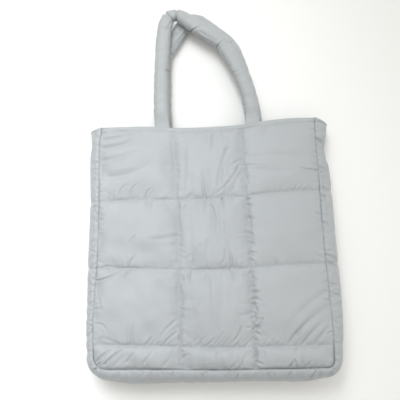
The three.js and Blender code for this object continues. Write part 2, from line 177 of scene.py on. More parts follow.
class ToteSizes(bpy.types.PropertyGroup):
    """Sizes of the bag that a user would change."""

    panel_width: FloatProperty(
        name="Panel width", description="Width of the front between its side seams",
        default=0.315, unit="LENGTH",
    )
    panel_height: FloatProperty(
        name="Panel height", description="Height of the front from its base seam to the mouth",
        default=0.350, unit="LENGTH",
    )
    seam_height: FloatProperty(
        name="Front seam height", description="Height of the front's seam over the floor at the base",
        default=0.062, unit="LENGTH",
    )
    swell: FloatProperty(
        name="Swell", description="How far a quilted cell stands off its stitches",
        default=0.0075, unit="LENGTH",
    )
    bulge: FloatProperty(
        name="Gusset bulge", description="How far the gusset rolls out past the seams",
        default=0.024, unit="LENGTH",
    )
    handle_drop: FloatProperty(
        name="Handle drop", description="How far the handles reach past the mouth",
        default=0.176, unit="LENGTH",
    )
    handle_width: FloatProperty(
        name="Handle width", description="Width of a padded handle",
        default=0.022, unit="LENGTH",
    )
    handle_thickness: FloatProperty(
        name="Handle thickness", description="Thickness of a padded handle",
        default=0.017, unit="LENGTH",
    )
    stitch_length: FloatProperty(
        name="Stitch length", description="Length of one stitch with the gap after it",
        default=0.0034, unit="LENGTH",
    )


class ToteColours(bpy.types.PropertyGroup):
    """Colours of the cloth, the thread and the floor."""

    shell: FloatVectorProperty(
        name="Shell cloth", description="Colour of the quilted nylon",
        default=(0.425, 0.446, 0.464), subtype="COLOR",
    )
    handle: FloatVectorProperty(
        name="Handle cloth", description="Colour of the handles' nylon",
        default=(0.423, 0.443, 0.455), subtype="COLOR",
    )
    thread: FloatVectorProperty(
        name="Thread", description="Colour of the sewing thread",
        default=(0.40, 0.43, 0.44), subtype="COLOR",
    )
    floor: FloatVectorProperty(
        name="Floor", description="Colour of the pale floor",
        default=(0.955, 0.955, 0.943), subtype="COLOR",
    )


# Fixed sizes of the sewing, in metres
CORNER_RADIUS_LEFT = 15 * MM
CORNER_RADIUS_RIGHT = 8 * MM
MOUTH_SWAY = 10 * MM
PANEL_CROWN = 6 * MM
HEM_DEPTH = 7 * MM
BACK_SEAM_HEIGHT = 7.5 * MM
GUSSET_BAND = 66 * MM
GUSSET_TIP_DROP = 7 * MM
GUSSET_FULLEST = 10 * MM
TAB_LENGTH = 9 * MM
TAB_THICKNESS = 3 * MM
TAB_OFFSET = 3.3 * MM
SEAM_GAP = 0.3 * MM
SIDE_SEAM_GAP = 0.04 * MM
EDGE_ROUND = 0.4 * MM
FLOOR_GAP = 0.2 * MM

# How far up the front its crown reaches, how many of its widths a handle takes to fill out, and the power
# that makes its section squarer than an oval
CROWN_REACH = 0.83
HANDLE_TAPER = 1.2
HANDLE_SQUARENESS = 0.8

# Spacing of the points of each sheet before it settles, and how many rows of them go round a handle
FRONT_STEP = 2.5 * MM
BACK_STEP = 3.2 * MM
GUSSET_STEP = 2.6 * MM
HANDLE_STEP = 2.2 * MM
HANDLE_ROWS = 28

# How thick a wall is where it is stitched, and how far the inner cloth stands in for each step of the outer
# one
STITCHED_WALL = 1.6 * MM
SEAM_WALL = 0.8 * MM
HEM_WALL = 2.4 * MM
INNER_SHARE = 0.6

# Thread of the stitches, and the share of a stitch's length that shows
THREAD_RADIUS = 0.28 * MM
STITCH_SHARE = 0.62

# How a cell fills out: how far from a line of stitches or a seam it is nearly full, and the share of its
# height that is a slow crown
REACH_UPRIGHT = 4.5 * MM
REACH_OVERHUNG = 2.2 * MM
REACH_LEVEL = 1.5 * MM
REACH_BASE = 1.1 * MM
REACH_SIDE = 3.5 * MM
GUSSET_REACH = 4.0 * MM
CROWN_SHARE = 0.60

# How full a cell stays at its stitches, as a share: at a side seam, at the first upright line, at a level
# line and at the hem, and how much the gusset drops where the level lines end at it
SIDE_FULLNESS = 0.80
FIRST_FULLNESS = 0.25
LEVEL_FULLNESS = 0.35
HEM_FULLNESS = 0.45
GUSSET_QUILTING = 0.12

# How much of the settled cloth's wrinkles shows in a panel's middle column, the share of that in its side
# columns, how much shows in the gusset and in a handle, and how near to its stitches a panel's cloth is held
# down
WRINKLE = 0.7
SIDE_WRINKLE = 0.55
GUSSET_WRINKLE = 0.9
HANDLE_WRINKLE = 0.35
STITCH_HOLD = 1.1 * MM

# Height of the slow waves of the front's cloth, and of the upright ones in its middle column
WAVES = 0.40 * MM
STREAKS = 0.55 * MM


def fold(start, end, width, depth, bow=0):
    """One fold, deepest at its start and running out at its end. Its bow is how far it curves to its left."""
    return {"start": start, "end": end, "width": width, "depth": depth, "bow": bow}


def gather(line, side, span, pitch, length, depth, slant):
    """A row of gathers along a line of stitches."""
    return {
        "line": line, "side": side, "span": span,
        "pitch": pitch, "length": length, "depth": depth, "slant": slant,
    }


# Folds of the front's cloth, read off the photo. Their places and their bow are in pixels of the
# photo, and their width and depth in millimetres. A negative depth is a ridge.
FRONT_FOLDS = {
    "top left cell": [
        fold((104, 139.5), (140, 130), width=2.8, depth=1.3, bow=-2.0),
        fold((103, 148), (137, 139), width=3.2, depth=1.4, bow=-2.5),
        fold((104, 160), (142, 150), width=3.6, depth=1.3, bow=-2.0),
        fold((103, 133), (126, 131), width=2.2, depth=0.9, bow=-1.0),
        fold((110, 176), (146, 166), width=4.5, depth=1.2, bow=-3.0),
        fold((119.5, 195), (127, 184.5), width=1.3, depth=1.0, bow=2.0),
        fold((130, 194), (138.5, 183.5), width=1.3, depth=1.0, bow=2.0),
        fold((145, 197), (152, 187), width=1.3, depth=1.0, bow=1.5),
        fold((112, 195), (118, 188), width=1.3, depth=0.6, bow=1.0),
    ],
    "top middle cell": [
        fold((204, 196), (202.5, 170), width=2.0, depth=1.5),
        fold((213.3, 134), (211, 154), width=1.6, depth=1.2),
        fold((222, 131), (223.5, 138), width=1.2, depth=0.7),
        fold((206.5, 134), (204, 152), width=2.5, depth=0.6),
        fold((226.5, 150), (217.5, 190), width=2.6, depth=1.2, bow=-1.5),
        fold((239, 160), (227, 170), width=1.3, depth=0.8, bow=-1.0),
        fold((238.5, 166), (216.5, 193), width=1.5, depth=1.4, bow=1.8),
        fold((232, 190), (240, 173), width=2.2, depth=0.7),
        fold((190, 196), (196, 184), width=2.2, depth=0.6, bow=-1),
        fold((223, 195), (224, 187), width=1.2, depth=0.9),
        fold((213, 196), (214.5, 188), width=1.2, depth=0.9),
        fold((230, 132), (229, 160), width=3.5, depth=0.7),
        fold((190, 136), (198, 148), width=3.0, depth=0.5),
        fold((184, 190), (186, 140), width=3.0, depth=0.8),
    ],
    "top right cell": [
        fold((267, 127), (261, 136), width=1.2, depth=0.9),
        fold((262, 127), (257, 134), width=1.2, depth=0.6),
        fold((275, 126), (275, 132), width=1.0, depth=0.8),
        fold((286, 124), (287, 132), width=1.2, depth=0.5),
        fold((245, 165), (259, 164.5), width=1.6, depth=0.9),
        fold((319, 169.8), (299, 167.5), width=1.2, depth=1.6, bow=0.5),
        fold((247, 177), (252, 187), width=1.2, depth=1.0, bow=-1.0),
        fold((281, 192), (283.5, 180), width=1.2, depth=0.9),
        fold((288, 192), (287, 181), width=1.2, depth=0.8),
        fold((293, 192), (298, 182), width=1.3, depth=1.1),
        fold((303, 191), (309, 184), width=1.2, depth=0.8),
        fold((265, 192), (268, 186), width=1.1, depth=0.8),
        fold((276, 192), (275, 186), width=1.1, depth=0.8),
        fold((249, 190), (262, 172), width=2.5, depth=0.6, bow=2.0),
        fold((250, 157), (312, 157), width=4.0, depth=0.6, bow=1.0),
        fold((252, 168), (297, 170), width=4.0, depth=0.6, bow=-2),
    ],
    "middle left cell": [
        fold((146, 198), (146, 208), width=1.5, depth=1.1),
        fold((152.5, 198), (150, 213), width=1.5, depth=0.8, bow=-1.5),
        fold((177.5, 198), (179, 210), width=1.6, depth=1.2),
        fold((135, 236), (129, 248), width=1.3, depth=0.9, bow=-1.5),
        fold((177, 235), (147, 239.5), width=3.0, depth=0.8, bow=1.0),
        fold((127, 268), (126, 254), width=2.0, depth=0.7),
        fold((128.5, 268), (135.5, 255), width=1.5, depth=1.1, bow=1.0),
        fold((171.5, 267), (171, 257), width=1.3, depth=1.0),
        fold((105, 266), (117, 269), width=1.3, depth=0.8, bow=1.0),
        fold((99, 229), (104, 224), width=1.3, depth=0.9),
        fold((99, 246), (105, 241), width=1.3, depth=0.9),
    ],
    "middle cell": [
        fold((204.5, 198), (205.5, 213), width=1.4, depth=1.3),
        fold((211, 205), (217.5, 233), width=1.6, depth=1.9, bow=1.2),
        fold((222, 198), (224.5, 212), width=1.5, depth=1.3),
        fold((213.5, 198), (213, 205), width=1.2, depth=0.8),
        fold((201, 245), (185, 259), width=2.2, depth=0.8, bow=1.5),
        fold((192.5, 266), (192.8, 256), width=1.0, depth=0.9),
        fold((224.5, 222), (226, 236), width=1.5, depth=1.0),
        fold((223.5, 262), (225, 246), width=1.8, depth=1.2, bow=-1.0),
        fold((231.5, 267), (229.5, 252), width=1.7, depth=1.9, bow=-0.8),
        fold((237, 267), (236.5, 258), width=1.2, depth=0.9),
        fold((242, 267), (243, 257), width=1.2, depth=1.0),
        fold((247, 232), (235, 233.5), width=1.8, depth=0.7),
        fold((183, 214), (188, 202), width=2.0, depth=0.8),
        fold((196, 200), (198, 222), width=2.2, depth=0.6),
        fold((208, 240), (206, 262), width=2.6, depth=0.6),
        fold((228, 243), (224, 239), width=1.3, depth=0.8),
    ],
    "middle right cell": [
        fold((248, 204), (254, 206), width=1.4, depth=1.0),
        fold((248.5, 216), (251.5, 229), width=1.5, depth=0.9, bow=1),
        fold((249, 241), (255, 244.5), width=1.5, depth=1.6),
        fold((249.5, 253), (257, 252.5), width=1.5, depth=1.6, bow=0.5),
        fold((250, 259), (255, 262), width=1.4, depth=1.2),
        fold((258, 267), (254, 262), width=1.3, depth=1.3),
        fold((276.5, 265), (275, 257), width=1.4, depth=1.2),
        fold((264, 265.5), (263.5, 260), width=1.2, depth=0.7),
        fold((287, 265), (286.5, 260), width=1.2, depth=0.8),
        fold((299, 265), (302, 261), width=1.1, depth=0.7),
        fold((311, 264), (313, 260), width=1.1, depth=0.7),
        fold((322, 258), (314, 252), width=1.4, depth=0.7),
        fold((321, 244), (313, 240), width=1.5, depth=0.6),
        fold((320, 215), (313, 212), width=1.5, depth=0.5),
    ],
    "low left cell": [
        fold((96, 280.5), (119.5, 271), width=1.3, depth=1.9, bow=-2.2),
        fold((132, 270.5), (123, 280), width=1.3, depth=1.5, bow=-1.0),
        fold((125, 271), (117, 279), width=1.2, depth=0.7, bow=-0.5),
        fold((95, 323.5), (107, 332), width=1.3, depth=1.4, bow=3.0),
        fold((132, 345), (134, 324), width=2.0, depth=1.1, bow=1.0),
        fold((128, 345), (129.5, 321), width=2.0, depth=-0.7, bow=-1.0),
        fold((146, 346), (152.5, 336), width=1.4, depth=1.2, bow=0.5),
        fold((151, 346), (153, 340), width=1.2, depth=0.9),
        fold((176, 320), (160, 338), width=1.7, depth=1.1, bow=-1.5),
        fold((175.5, 333), (163.5, 346), width=1.5, depth=1.5, bow=-1.2),
        fold((117, 343), (102, 337.5), width=2.2, depth=0.7),
        fold((99, 300), (101, 312), width=1.8, depth=0.7),
        fold((157, 346), (160, 341), width=1.1, depth=0.9),
        fold((168, 346), (172, 340), width=1.1, depth=0.8),
    ],
    "low middle cell": [
        fold((190, 272), (189.5, 284), width=1.5, depth=1.2, bow=-1.0),
        fold((231, 271), (233, 283), width=1.5, depth=1.4, bow=1.2),
        fold((182, 274), (183.5, 284), width=1.5, depth=0.9),
        fold((181, 344), (184, 330), width=1.5, depth=1.6, bow=2.0),
        fold((181, 300), (186, 296), width=1.5, depth=1.0),
        fold((181, 309), (185, 310), width=1.4, depth=0.9),
        fold((241, 327), (231.5, 343), width=1.6, depth=1.5, bow=1.5),
        fold((223.5, 332), (216, 343), width=1.3, depth=0.9),
        fold((214.5, 338), (207.5, 346), width=1.2, depth=1.0),
        fold((205, 337), (198.5, 346), width=1.3, depth=1.0),
        fold((195.5, 339), (190, 346), width=1.2, depth=0.8),
        fold((249, 328), (243, 326), width=1.6, depth=1.2, bow=0.5),
        fold((226, 344), (229, 336), width=1.3, depth=0.7),
        fold((208, 272), (210, 300), width=3.0, depth=0.6),
        fold((196, 320), (204, 296), width=3.0, depth=0.5),
        fold((218, 330), (224, 300), width=3.0, depth=0.5, bow=1),
    ],
    "low right cell": [
        fold((297, 334), (312.5, 317), width=2.7, depth=1.5, bow=0.8),
        fold((291, 341.5), (303, 326), width=2.3, depth=1.5, bow=0.8),
        fold((305, 341.5), (322, 322), width=2.4, depth=1.5, bow=0.8),
        fold((317, 341.5), (329, 326), width=2.1, depth=1.3, bow=0.5),
        fold((251, 271), (254, 279), width=1.5, depth=1.3),
        fold((252.5, 278), (258, 279.5), width=1.6, depth=1.4),
        fold((253, 292), (256, 297), width=1.5, depth=1.0),
        fold((254, 299), (261.5, 301.5), width=1.6, depth=1.3, bow=0.5),
        fold((252.5, 304), (254, 315), width=1.3, depth=1.8, bow=3.5),
        fold((254.5, 321), (263, 318.5), width=1.4, depth=2.0, bow=1.0),
        fold((263.5, 319), (255, 328), width=1.3, depth=1.6, bow=1.2),
        fold((255, 331), (261, 336), width=1.4, depth=1.6),
        fold((253.5, 338), (258, 342), width=1.3, depth=1.4),
        fold((327, 292), (290, 325), width=4.0, depth=1.0, bow=-3.0),
        fold((331, 305), (306, 326), width=3.5, depth=0.8, bow=-1.5),
        fold((265, 344), (267, 338), width=1.4, depth=1.1),
        fold((278, 344), (281, 339), width=1.3, depth=0.9),
        fold((273, 270), (300, 273), width=3.5, depth=0.4),
    ],
    "base row": [
        fold((95.5, 362.5), (111, 350.5), width=1.4, depth=1.8, bow=1.0),
        fold((104, 365), (122, 350.5), width=1.4, depth=1.7, bow=0.8),
        fold((113, 367), (126, 355), width=1.8, depth=0.6, bow=0.5),
        fold((127, 362), (135, 351), width=1.7, depth=1.0),
        fold((144, 363), (153, 351), width=1.7, depth=0.8),
        fold((182, 368), (179.5, 358), width=1.4, depth=1.2, bow=0.8),
        fold((255.5, 348), (256, 360), width=1.5, depth=1.3, bow=1.0),
        fold((290, 367), (294.5, 360), width=1.5, depth=2.0, bow=-0.5),
        fold((297, 367), (294.5, 360), width=1.4, depth=1.6),
        fold((296.5, 345), (296, 352), width=1.3, depth=1.1),
        fold((303, 365), (301.5, 349), width=1.7, depth=1.1),
        fold((307, 366), (312, 361), width=1.4, depth=0.9),
        fold((232, 368), (238, 361), width=1.5, depth=0.7),
        fold((242, 366), (248, 352), width=1.8, depth=0.6),
        fold((264, 352), (265, 361), width=1.6, depth=0.6),
        fold((204, 368), (204, 361), width=1.4, depth=0.8),
        fold((217, 356), (222, 349), width=1.6, depth=0.5),
        fold((165, 366), (171, 355), width=2.0, depth=0.5),
        fold((322, 367), (326, 352), width=2.0, depth=0.5),
    ],
}

# How wide and how deep a fold of the table is made, for each millimetre in it, and how far over the middle of
# the front wall the folds are taken to lie
FOLD_WIDTH = 0.95
CELL_FOLD_DEPTH = 1.5
BASE_FOLD_DEPTH = 1.9
FOLD_LEVEL = 7 * MM

# Shape of a fold. Its reach, and the place and the spread of the two rolls beside it, are in widths of the
# fold, and the height of a roll and what is gone at the fold's end are shares of its depth. A higher power
# makes it blunter.
FOLD_REACH = 3.2
ROLL_PLACE = 2
ROLL_SPREAD = 1.4
ROLL_HEIGHT = 0.28
FOLD_FADE = 0.75
FOLD_POWER = 1.5

# Folds of the gusset. The first number of a place is in millimetres along the band from the left end of the
# mouth, and the second a share of half the band's width, from 1 at the front seam to -1 at the back seam.
GUSSET_FOLDS = [
    # Left side
    fold((118, 0.98), (124, 0.60), width=1.3, depth=2.0, bow=0.5),
    fold((190, 0.98), (184, 0.55), width=1.3, depth=2.2, bow=0.5),
    fold((205, 0.98), (212, 0.65), width=1.2, depth=1.8, bow=-0.5),
    fold((300, 0.98), (306, 0.60), width=1.3, depth=1.8, bow=0.5),
    fold((60, 0.70), (110, 0.62), width=3.0, depth=1.0, bow=1.0),
    fold((230, 0.66), (300, 0.72), width=3.0, depth=1.0, bow=-1.0),
    # Base
    fold((352, 0.98), (346, 0.55), width=1.4, depth=2.8, bow=0.5),
    fold((385, 0.98), (378, 0.60), width=1.4, depth=1.8, bow=0.5),
    fold((436, 0.98), (441, 0.70), width=1.3, depth=1.6),
    fold((494, 0.98), (499, 0.72), width=1.3, depth=1.5),
    fold((541, 0.98), (533, 0.50), width=1.4, depth=2.5, bow=0.8),
    fold((573, 0.98), (577, 0.70), width=1.2, depth=2.0),
    fold((610, 0.98), (604, 0.62), width=1.3, depth=2.2, bow=0.5),
    fold((643, 0.98), (630, 0.50), width=1.5, depth=3.0, bow=1.0),
    fold((662, 0.98), (655, 0.52), width=1.4, depth=2.8, bow=0.8),
    fold((420, 0.34), (560, 0.38), width=4.0, depth=0.8, bow=2.0),
    # Right side
    fold((982, 0.99), (965, 0.30), width=1.6, depth=4.0, bow=2.5),
    fold((971, 0.99), (962, 0.60), width=1.4, depth=2.0, bow=1.0),
    fold((941, 0.99), (934, 0.55), width=1.3, depth=2.4, bow=0.5),
    fold((936, 0.99), (928, 0.70), width=1.2, depth=1.6),
    fold((898, 0.99), (893, 0.60), width=1.3, depth=2.0, bow=0.5),
    fold((860, 0.99), (853, 0.62), width=1.3, depth=1.8, bow=0.5),
    fold((814, 0.99), (806, 0.40), width=1.5, depth=3.0, bow=1.0),
    fold((804, 0.99), (794, 0.38), width=1.5, depth=3.0, bow=1.0),
    fold((775, 0.95), (770, 0.55), width=1.4, depth=2.0, bow=0.5),
    fold((762, 0.95), (755, 0.45), width=1.5, depth=2.5, bow=0.5),
    fold((725, 0.98), (719, 0.60), width=1.3, depth=1.6, bow=0.5),
    fold((925, 0.76), (830, 0.72), width=3.0, depth=1.5, bow=1.5),
    fold((785, 0.70), (700, 0.74), width=3.0, depth=1.2, bow=-1.5),
]

# Gathers along both seams of the gusset, in millimetres
GUSSET_GATHERS = {"pitch": 4.5, "length": 9, "depth": 1.30}

# Gathers along the stitches of a panel: the line of stitches, the side of it that they are on, which is 1
# above or right of it and -1 below or left of it, and where they start and end as shares along it. pitch,
# length and depth are in millimetres, and slant is how far a gather runs along the line for each millimetre
# away from it.
GATHERS = [
    gather("hem", -1, (0.02, 0.98), pitch=8, length=7, depth=0.40, slant=-0.3),
    gather("high", 1, (0.00, 0.36), pitch=8, length=8, depth=0.45, slant=0.6),
    gather("high", 1, (0.36, 0.67), pitch=6, length=12, depth=0.55, slant=0.3),
    gather("high", 1, (0.67, 1.00), pitch=6, length=8, depth=0.50, slant=0.2),
    gather("high", -1, (0.00, 0.36), pitch=9, length=7, depth=0.35, slant=0.1),
    gather("high", -1, (0.36, 0.67), pitch=5, length=13, depth=0.60, slant=0.1),
    gather("high", -1, (0.67, 1.00), pitch=8, length=7, depth=0.35, slant=0.0),
    gather("middle", 1, (0.00, 0.36), pitch=8, length=9, depth=0.45, slant=0.4),
    gather("middle", 1, (0.36, 0.67), pitch=6, length=10, depth=0.55, slant=0.1),
    gather("middle", 1, (0.67, 1.00), pitch=6, length=7, depth=0.50, slant=0.2),
    gather("middle", -1, (0.00, 0.36), pitch=8, length=8, depth=0.45, slant=0.5),
    gather("middle", -1, (0.36, 1.00), pitch=7, length=8, depth=0.45, slant=0.1),
    gather("low", 1, (0.00, 0.36), pitch=7, length=9, depth=0.50, slant=0.6),
    gather("low", 1, (0.36, 0.67), pitch=5, length=11, depth=0.60, slant=0.6),
    gather("low", 1, (0.67, 1.00), pitch=6, length=10, depth=0.55, slant=0.7),
    gather("low", -1, (0.00, 1.00), pitch=7, length=7, depth=0.70, slant=0.2),
    gather("base", 1, (0.05, 0.97), pitch=7, length=7, depth=0.80, slant=0.3),
    gather("first", -1, (0.00, 0.70), pitch=9, length=8, depth=0.40, slant=0.1),
    gather("first", 1, (0.00, 0.40), pitch=6, length=7, depth=1.30, slant=0.3),
    gather("first", 1, (0.40, 0.98), pitch=7, length=9, depth=0.50, slant=-0.1),
    gather("second", -1, (0.00, 0.98), pitch=7, length=8, depth=0.45, slant=-0.2),
    gather("second", 1, (0.00, 0.40), pitch=7, length=8, depth=1.90, slant=-0.2),
    gather("second", 1, (0.40, 0.70), pitch=8, length=7, depth=1.60, slant=-0.3),
    gather("second", 1, (0.70, 0.98), pitch=8, length=7, depth=1.10, slant=0.3),
    gather("left", 1, (0.02, 0.96), pitch=6, length=8, depth=0.80, slant=0.2),
    gather("right", -1, (0.02, 0.96), pitch=6, length=9, depth=0.80, slant=0.2),
]


# How each wall's cloth is cut: how much larger than its outline, as a share, where it is snug and where it is
# loosest, and how hard the wadding fills it
PANEL_CUT = {"extra": 0.022, "extra_loose": 0.045, "pressure": 60}
GUSSET_CUT = {"extra": 0.035, "extra_loose": 0.05, "pressure": 60}
HANDLE_CUT = {"extra": 0.03, "extra_loose": 0.03, "pressure": 40}

# Thin nylon as the simulation takes it, the frames it settles in, and how rough its sheet lies at the start
NYLON = {
    "quality": 3, "mass": 0.05, "tension_stiffness": 15, "compression_stiffness": 15, "shear_stiffness": 5,
    "bending_stiffness": 0.01,
}
SETTLING_FRAMES = 14
RUMPLE = 0.0006

# The sky: the way its brightest part lies, its strength from the dark side to that part, and its colour
SKY = {"brightest": (0.18, 0.20, 0.965), "low": 0.26, "high": 1.01, "colour": (1.0, 0.985, 0.945)}

# Round soft lamps: where each is, what it shines at, its width in metres, its spread in degrees and its power
LAMPS = {
    "window": {
        "place": (-0.60, 0.72, 1.30), "target": (-0.52, 0.08, 0), "width": 1.3, "spread": 55, "power": 3.8,
        "colour": (0.93, 0.97, 1.0),
    },
    "pale_wall": {
        "place": (1.25, 0.05, 0.45), "target": (0.17, 0, 0.03), "width": 0.8, "spread": 180, "power": 0.9,
        "colour": (1.0, 0.985, 0.95),
    },
}

# Half the width of the pale floor, in metres, which runs past everything that the camera sees
FLOOR_REACH = 15


def cell_and_share(places, breaks):
    """The cell between breaks that each place lies in, and its share of the way through that cell."""
    cell = np.clip(np.searchsorted(breaks, places, side="right") - 1, 0, len(breaks) - 2)
    return cell, (places - breaks[cell]) / (breaks[cell + 1] - breaks[cell])


def curve(values, slopes, row, span, share):
    """A smooth curve from one row of values to the next, with their slopes."""
    rest = 1 - share
    return (
        values[row] * rest**2 * (1 + 2 * share)
        + slopes[row] * span * share * rest**2
        + values[row + 1] * share**2 * (3 - 2 * share)
        - slopes[row + 1] * span * share**2 * rest
    )


def along(table, column, at):
    """Reads a table's column at places between its rows, on a smooth curve through them."""
    places = np.array([row["at"] for row in table])
    values = np.array([row[column] for row in table])
    slopes = np.gradient(values, places, edge_order=1)
    slopes[1:-1] = (values[2:] - values[:-2]) / (places[2:] - places[:-2])
    row, share = cell_and_share(at, places)
    return curve(values, slopes, row, places[row + 1] - places[row], np.clip(share, 0, 1))


def camera_axes():
    """The ways that lie right, up and back as the photo's camera sees them."""
    elevation, roll = math.radians(CAMERA["elevation"]), math.radians(CAMERA["roll"])
    back = Vector((0, -math.cos(elevation), math.sin(elevation)))
    level = Vector((1, 0, 0))
    upright = back.cross(level)
    right = level * math.cos(roll) + upright * math.sin(roll)
    up = upright * math.cos(roll) - level * math.sin(roll)
    return right, up, back


def smoothstep(value, low, high):
    """Rises smoothly from 0 at low to 1 at high."""
    share = np.clip((value - low) / (high - low), 0, 1)
    return share * share * (3 - 2 * share)


def beside(at):
    """How much a place along the U of the seams belongs to the bag's sides: 1 there, and 0 along the base."""
    return smoothstep(np.abs(at - 1.5), 0.54, 0.62)


class BagForm:
    """The surfaces that the padded pieces are sewn on, worked out from the bag's sizes."""

    def __init__(self, sizes):
        self.width = sizes.panel_width
        self.height = sizes.panel_height
        self.seam_height = sizes.seam_height
        self.bulge = sizes.bulge

    def round_corner(self, across, up):
        """Turns the square corners of a panel's sheet into round ones."""
        radius = np.where(across < 0, CORNER_RADIUS_LEFT, CORNER_RADIUS_RIGHT)
        in_side = radius - (1 - np.abs(across)) * self.width / 2
        in_base = radius - up * self.height
        inside = (in_side > 0) & (in_base > 0)
        reach = np.where(inside, np.hypot(in_side, in_base), 1)
        pull = np.maximum(in_side, in_base) / reach
        round_across = np.sign(across) * (1 - (radius - in_side * pull) / (self.width / 2))
        round_up = (radius - in_base * pull) / self.height
        return np.where(inside, round_across, across), np.where(inside, round_up, up)

    def plan(self, across, up):
        """Places on the floor below points of a panel's sheet."""
        return self.square_plan(*self.round_corner(across, up))

    def square_plan(self, across, up):
        """The same places for a sheet that keeps its square corners."""
        left = -along(SIDE_SECTIONS, "left", up) * self.width / 2
        right = along(SIDE_SECTIONS, "right", up) * self.width / 2
        base = -self.height / 2 + along(EDGE_SECTIONS, "base", across) * MOUTH_SWAY
        mouth = self.height / 2 + along(EDGE_SECTIONS, "mouth", across) * MOUTH_SWAY
        return left + (right - left) * (across + 1) / 2, base + (mouth - base) * up

    def front_height(self, across, up):
        """Height over the floor of the middle of the front wall."""
        seam = along(SIDE_SECTIONS, "rise", up) * self.seam_height
        return seam + PANEL_CROWN * (1 - across**2) * np.sin(np.pi * np.clip(up / CROWN_REACH, 0, 1))

    def seen(self, across, up):
        """Pixels of the photo at which the camera sees points of the front's cloth."""
        x, y = self.square_plan(across, up)
        right, upwards, back = (np.array(axis) for axis in camera_axes())
        eye = np.array(CAMERA_TARGET) + CAMERA["distance"] * back
        ray = np.column_stack([x, y, self.front_height(across, up) + FOLD_LEVEL]) - eye
        scale = CAMERA["lens"] / CAMERA["sensor"] * PHOTO_PIXELS / (ray @ -back)
        return PHOTO_PIXELS / 2 + np.column_stack([ray @ right, ray @ -upwards]) * scale[:, None]

    def shares_at(self, pixels):
        """Shares across and up of the front's cloth under pixels of the photo, found in a few steps."""
        shares = np.tile([0.0, 0.5], (len(pixels), 1))
        step = 0.001
        for _ in range(12):
            across, up = shares.T
            here = self.seen(across, up)
            sideways, upwards = self.seen(across + step, up) - here, self.seen(across, up + step) - here
            slopes = np.stack([sideways, upwards], axis=2) / step
            shares += np.linalg.solve(slopes, (pixels - here)[:, :, None])[:, :, 0]
        return shares

    def front_folds(self):
        """The front's folds, with their places as shares of the panel and their bow in millimetres."""
        rows = [(cell, row) for cell, table in FRONT_FOLDS.items() for row in table]
        starts = self.shares_at(np.array([row["start"] for _, row in rows]))
        ends = self.shares_at(np.array([row["end"] for _, row in rows]))
        placed = []
        for (cell, row), start, end in zip(rows, starts, ends):
            depth = row["depth"] * (BASE_FOLD_DEPTH if cell == "base row" else CELL_FOLD_DEPTH)
            placed.append(fold(start, end, row["width"] * FOLD_WIDTH, depth, row["bow"] / PIXELS_PER_MM))
        return placed

    def seam_shares(self, at):
        """A panel's shares at a place along the U of its seams."""
        across = np.clip(2 * (at - 1) - 1, -1, 1)
        up = np.where(at < 1.5, np.clip(1 - at, 0, 1), np.clip(at - 2, 0, 1))
        return across, up

    def gusset_point(self, at, turn, lift):
        """Points of the gusset: at is along the U, turn from 1 at the front seam to -1 at the back seam, and
        lift off the middle of its wall."""
        step = 0.006
        across, up = self.seam_shares(at)
        x, y = self.plan(across, up)
        before = self.plan(*self.seam_shares(np.clip(at - step, 0, 3)))
        after = self.plan(*self.seam_shares(np.clip(at + step, 0, 3)))
        run_x, run_y = after[0] - before[0], after[1] - before[1]
        length = np.hypot(run_x, run_y)
        out_x, out_y = run_y / length, -run_x / length
        seam = self.front_height(across, up)
        middle = (seam + BACK_SEAM_HEIGHT) / 2
        half = (seam - BACK_SEAM_HEIGHT) / 2
        reach = along(GUSSET_SECTIONS, "bulge", at) * self.bulge - GUSSET_FULLEST / 2
        angle = turn * np.pi / 2
        normal_out = np.cos(angle) * half
        normal_up = np.sin(angle) * reach
        normal = np.hypot(normal_out, normal_up)
        gap = SEAM_GAP + (SIDE_SEAM_GAP - SEAM_GAP) * beside(at)
        out = reach * np.cos(angle) + gap + lift * normal_out / normal
        height = middle + half * np.sin(angle) + lift * normal_up / normal
        drop = GUSSET_TIP_DROP * np.cos(angle) * np.clip(1 - (1 - up) * self.height / HEM_DEPTH, 0, 1)
        return np.column_stack([x + out_x * out, y + out_y * out - drop, height])


class FlatSheet:
    """A flat grid of cloth, whose vertices know their column and row."""

    def __init__(self, column_counts, row_counts):
        self.column_breaks = np.concatenate([[0], np.cumsum(column_counts)])
        self.row_breaks = np.concatenate([[0], np.cumsum(row_counts)])
        columns, rows = self.column_breaks[-1], self.row_breaks[-1]
        self.mesh = bpy.data.meshes.new("flat_sheet")
        bm = bmesh.new()
        bmesh.ops.create_grid(bm, x_segments=int(columns), y_segments=int(rows), size=1)
        bm.to_mesh(self.mesh)
        bm.free()
        shares = (self.points() + 1) / 2
        self.column = np.rint(shares[:, 0] * columns).astype(int)
        self.row = np.rint(shares[:, 1] * rows).astype(int)

    def points(self):
        flat = np.empty(len(self.mesh.vertices) * 3)
        self.mesh.vertices.foreach_get("co", flat)
        return flat.reshape(-1, 3)

    def place(self, points):
        self.mesh.vertices.foreach_set("co", np.ascontiguousarray(points, float).ravel())
        self.mesh.update()

    @staticmethod
    def between(index, breaks, lines):
        """Shares at grid indices, where lines gives the share at each break, spread evenly between them."""
        cell, step = cell_and_share(index, breaks)
        lines = np.broadcast_arrays(*[np.asarray(line, float) + 0 * step for line in lines])
        stacked = np.stack(lines)
        places = np.arange(len(step))
        return stacked[cell, places] * (1 - step) + stacked[cell + 1, places] * step


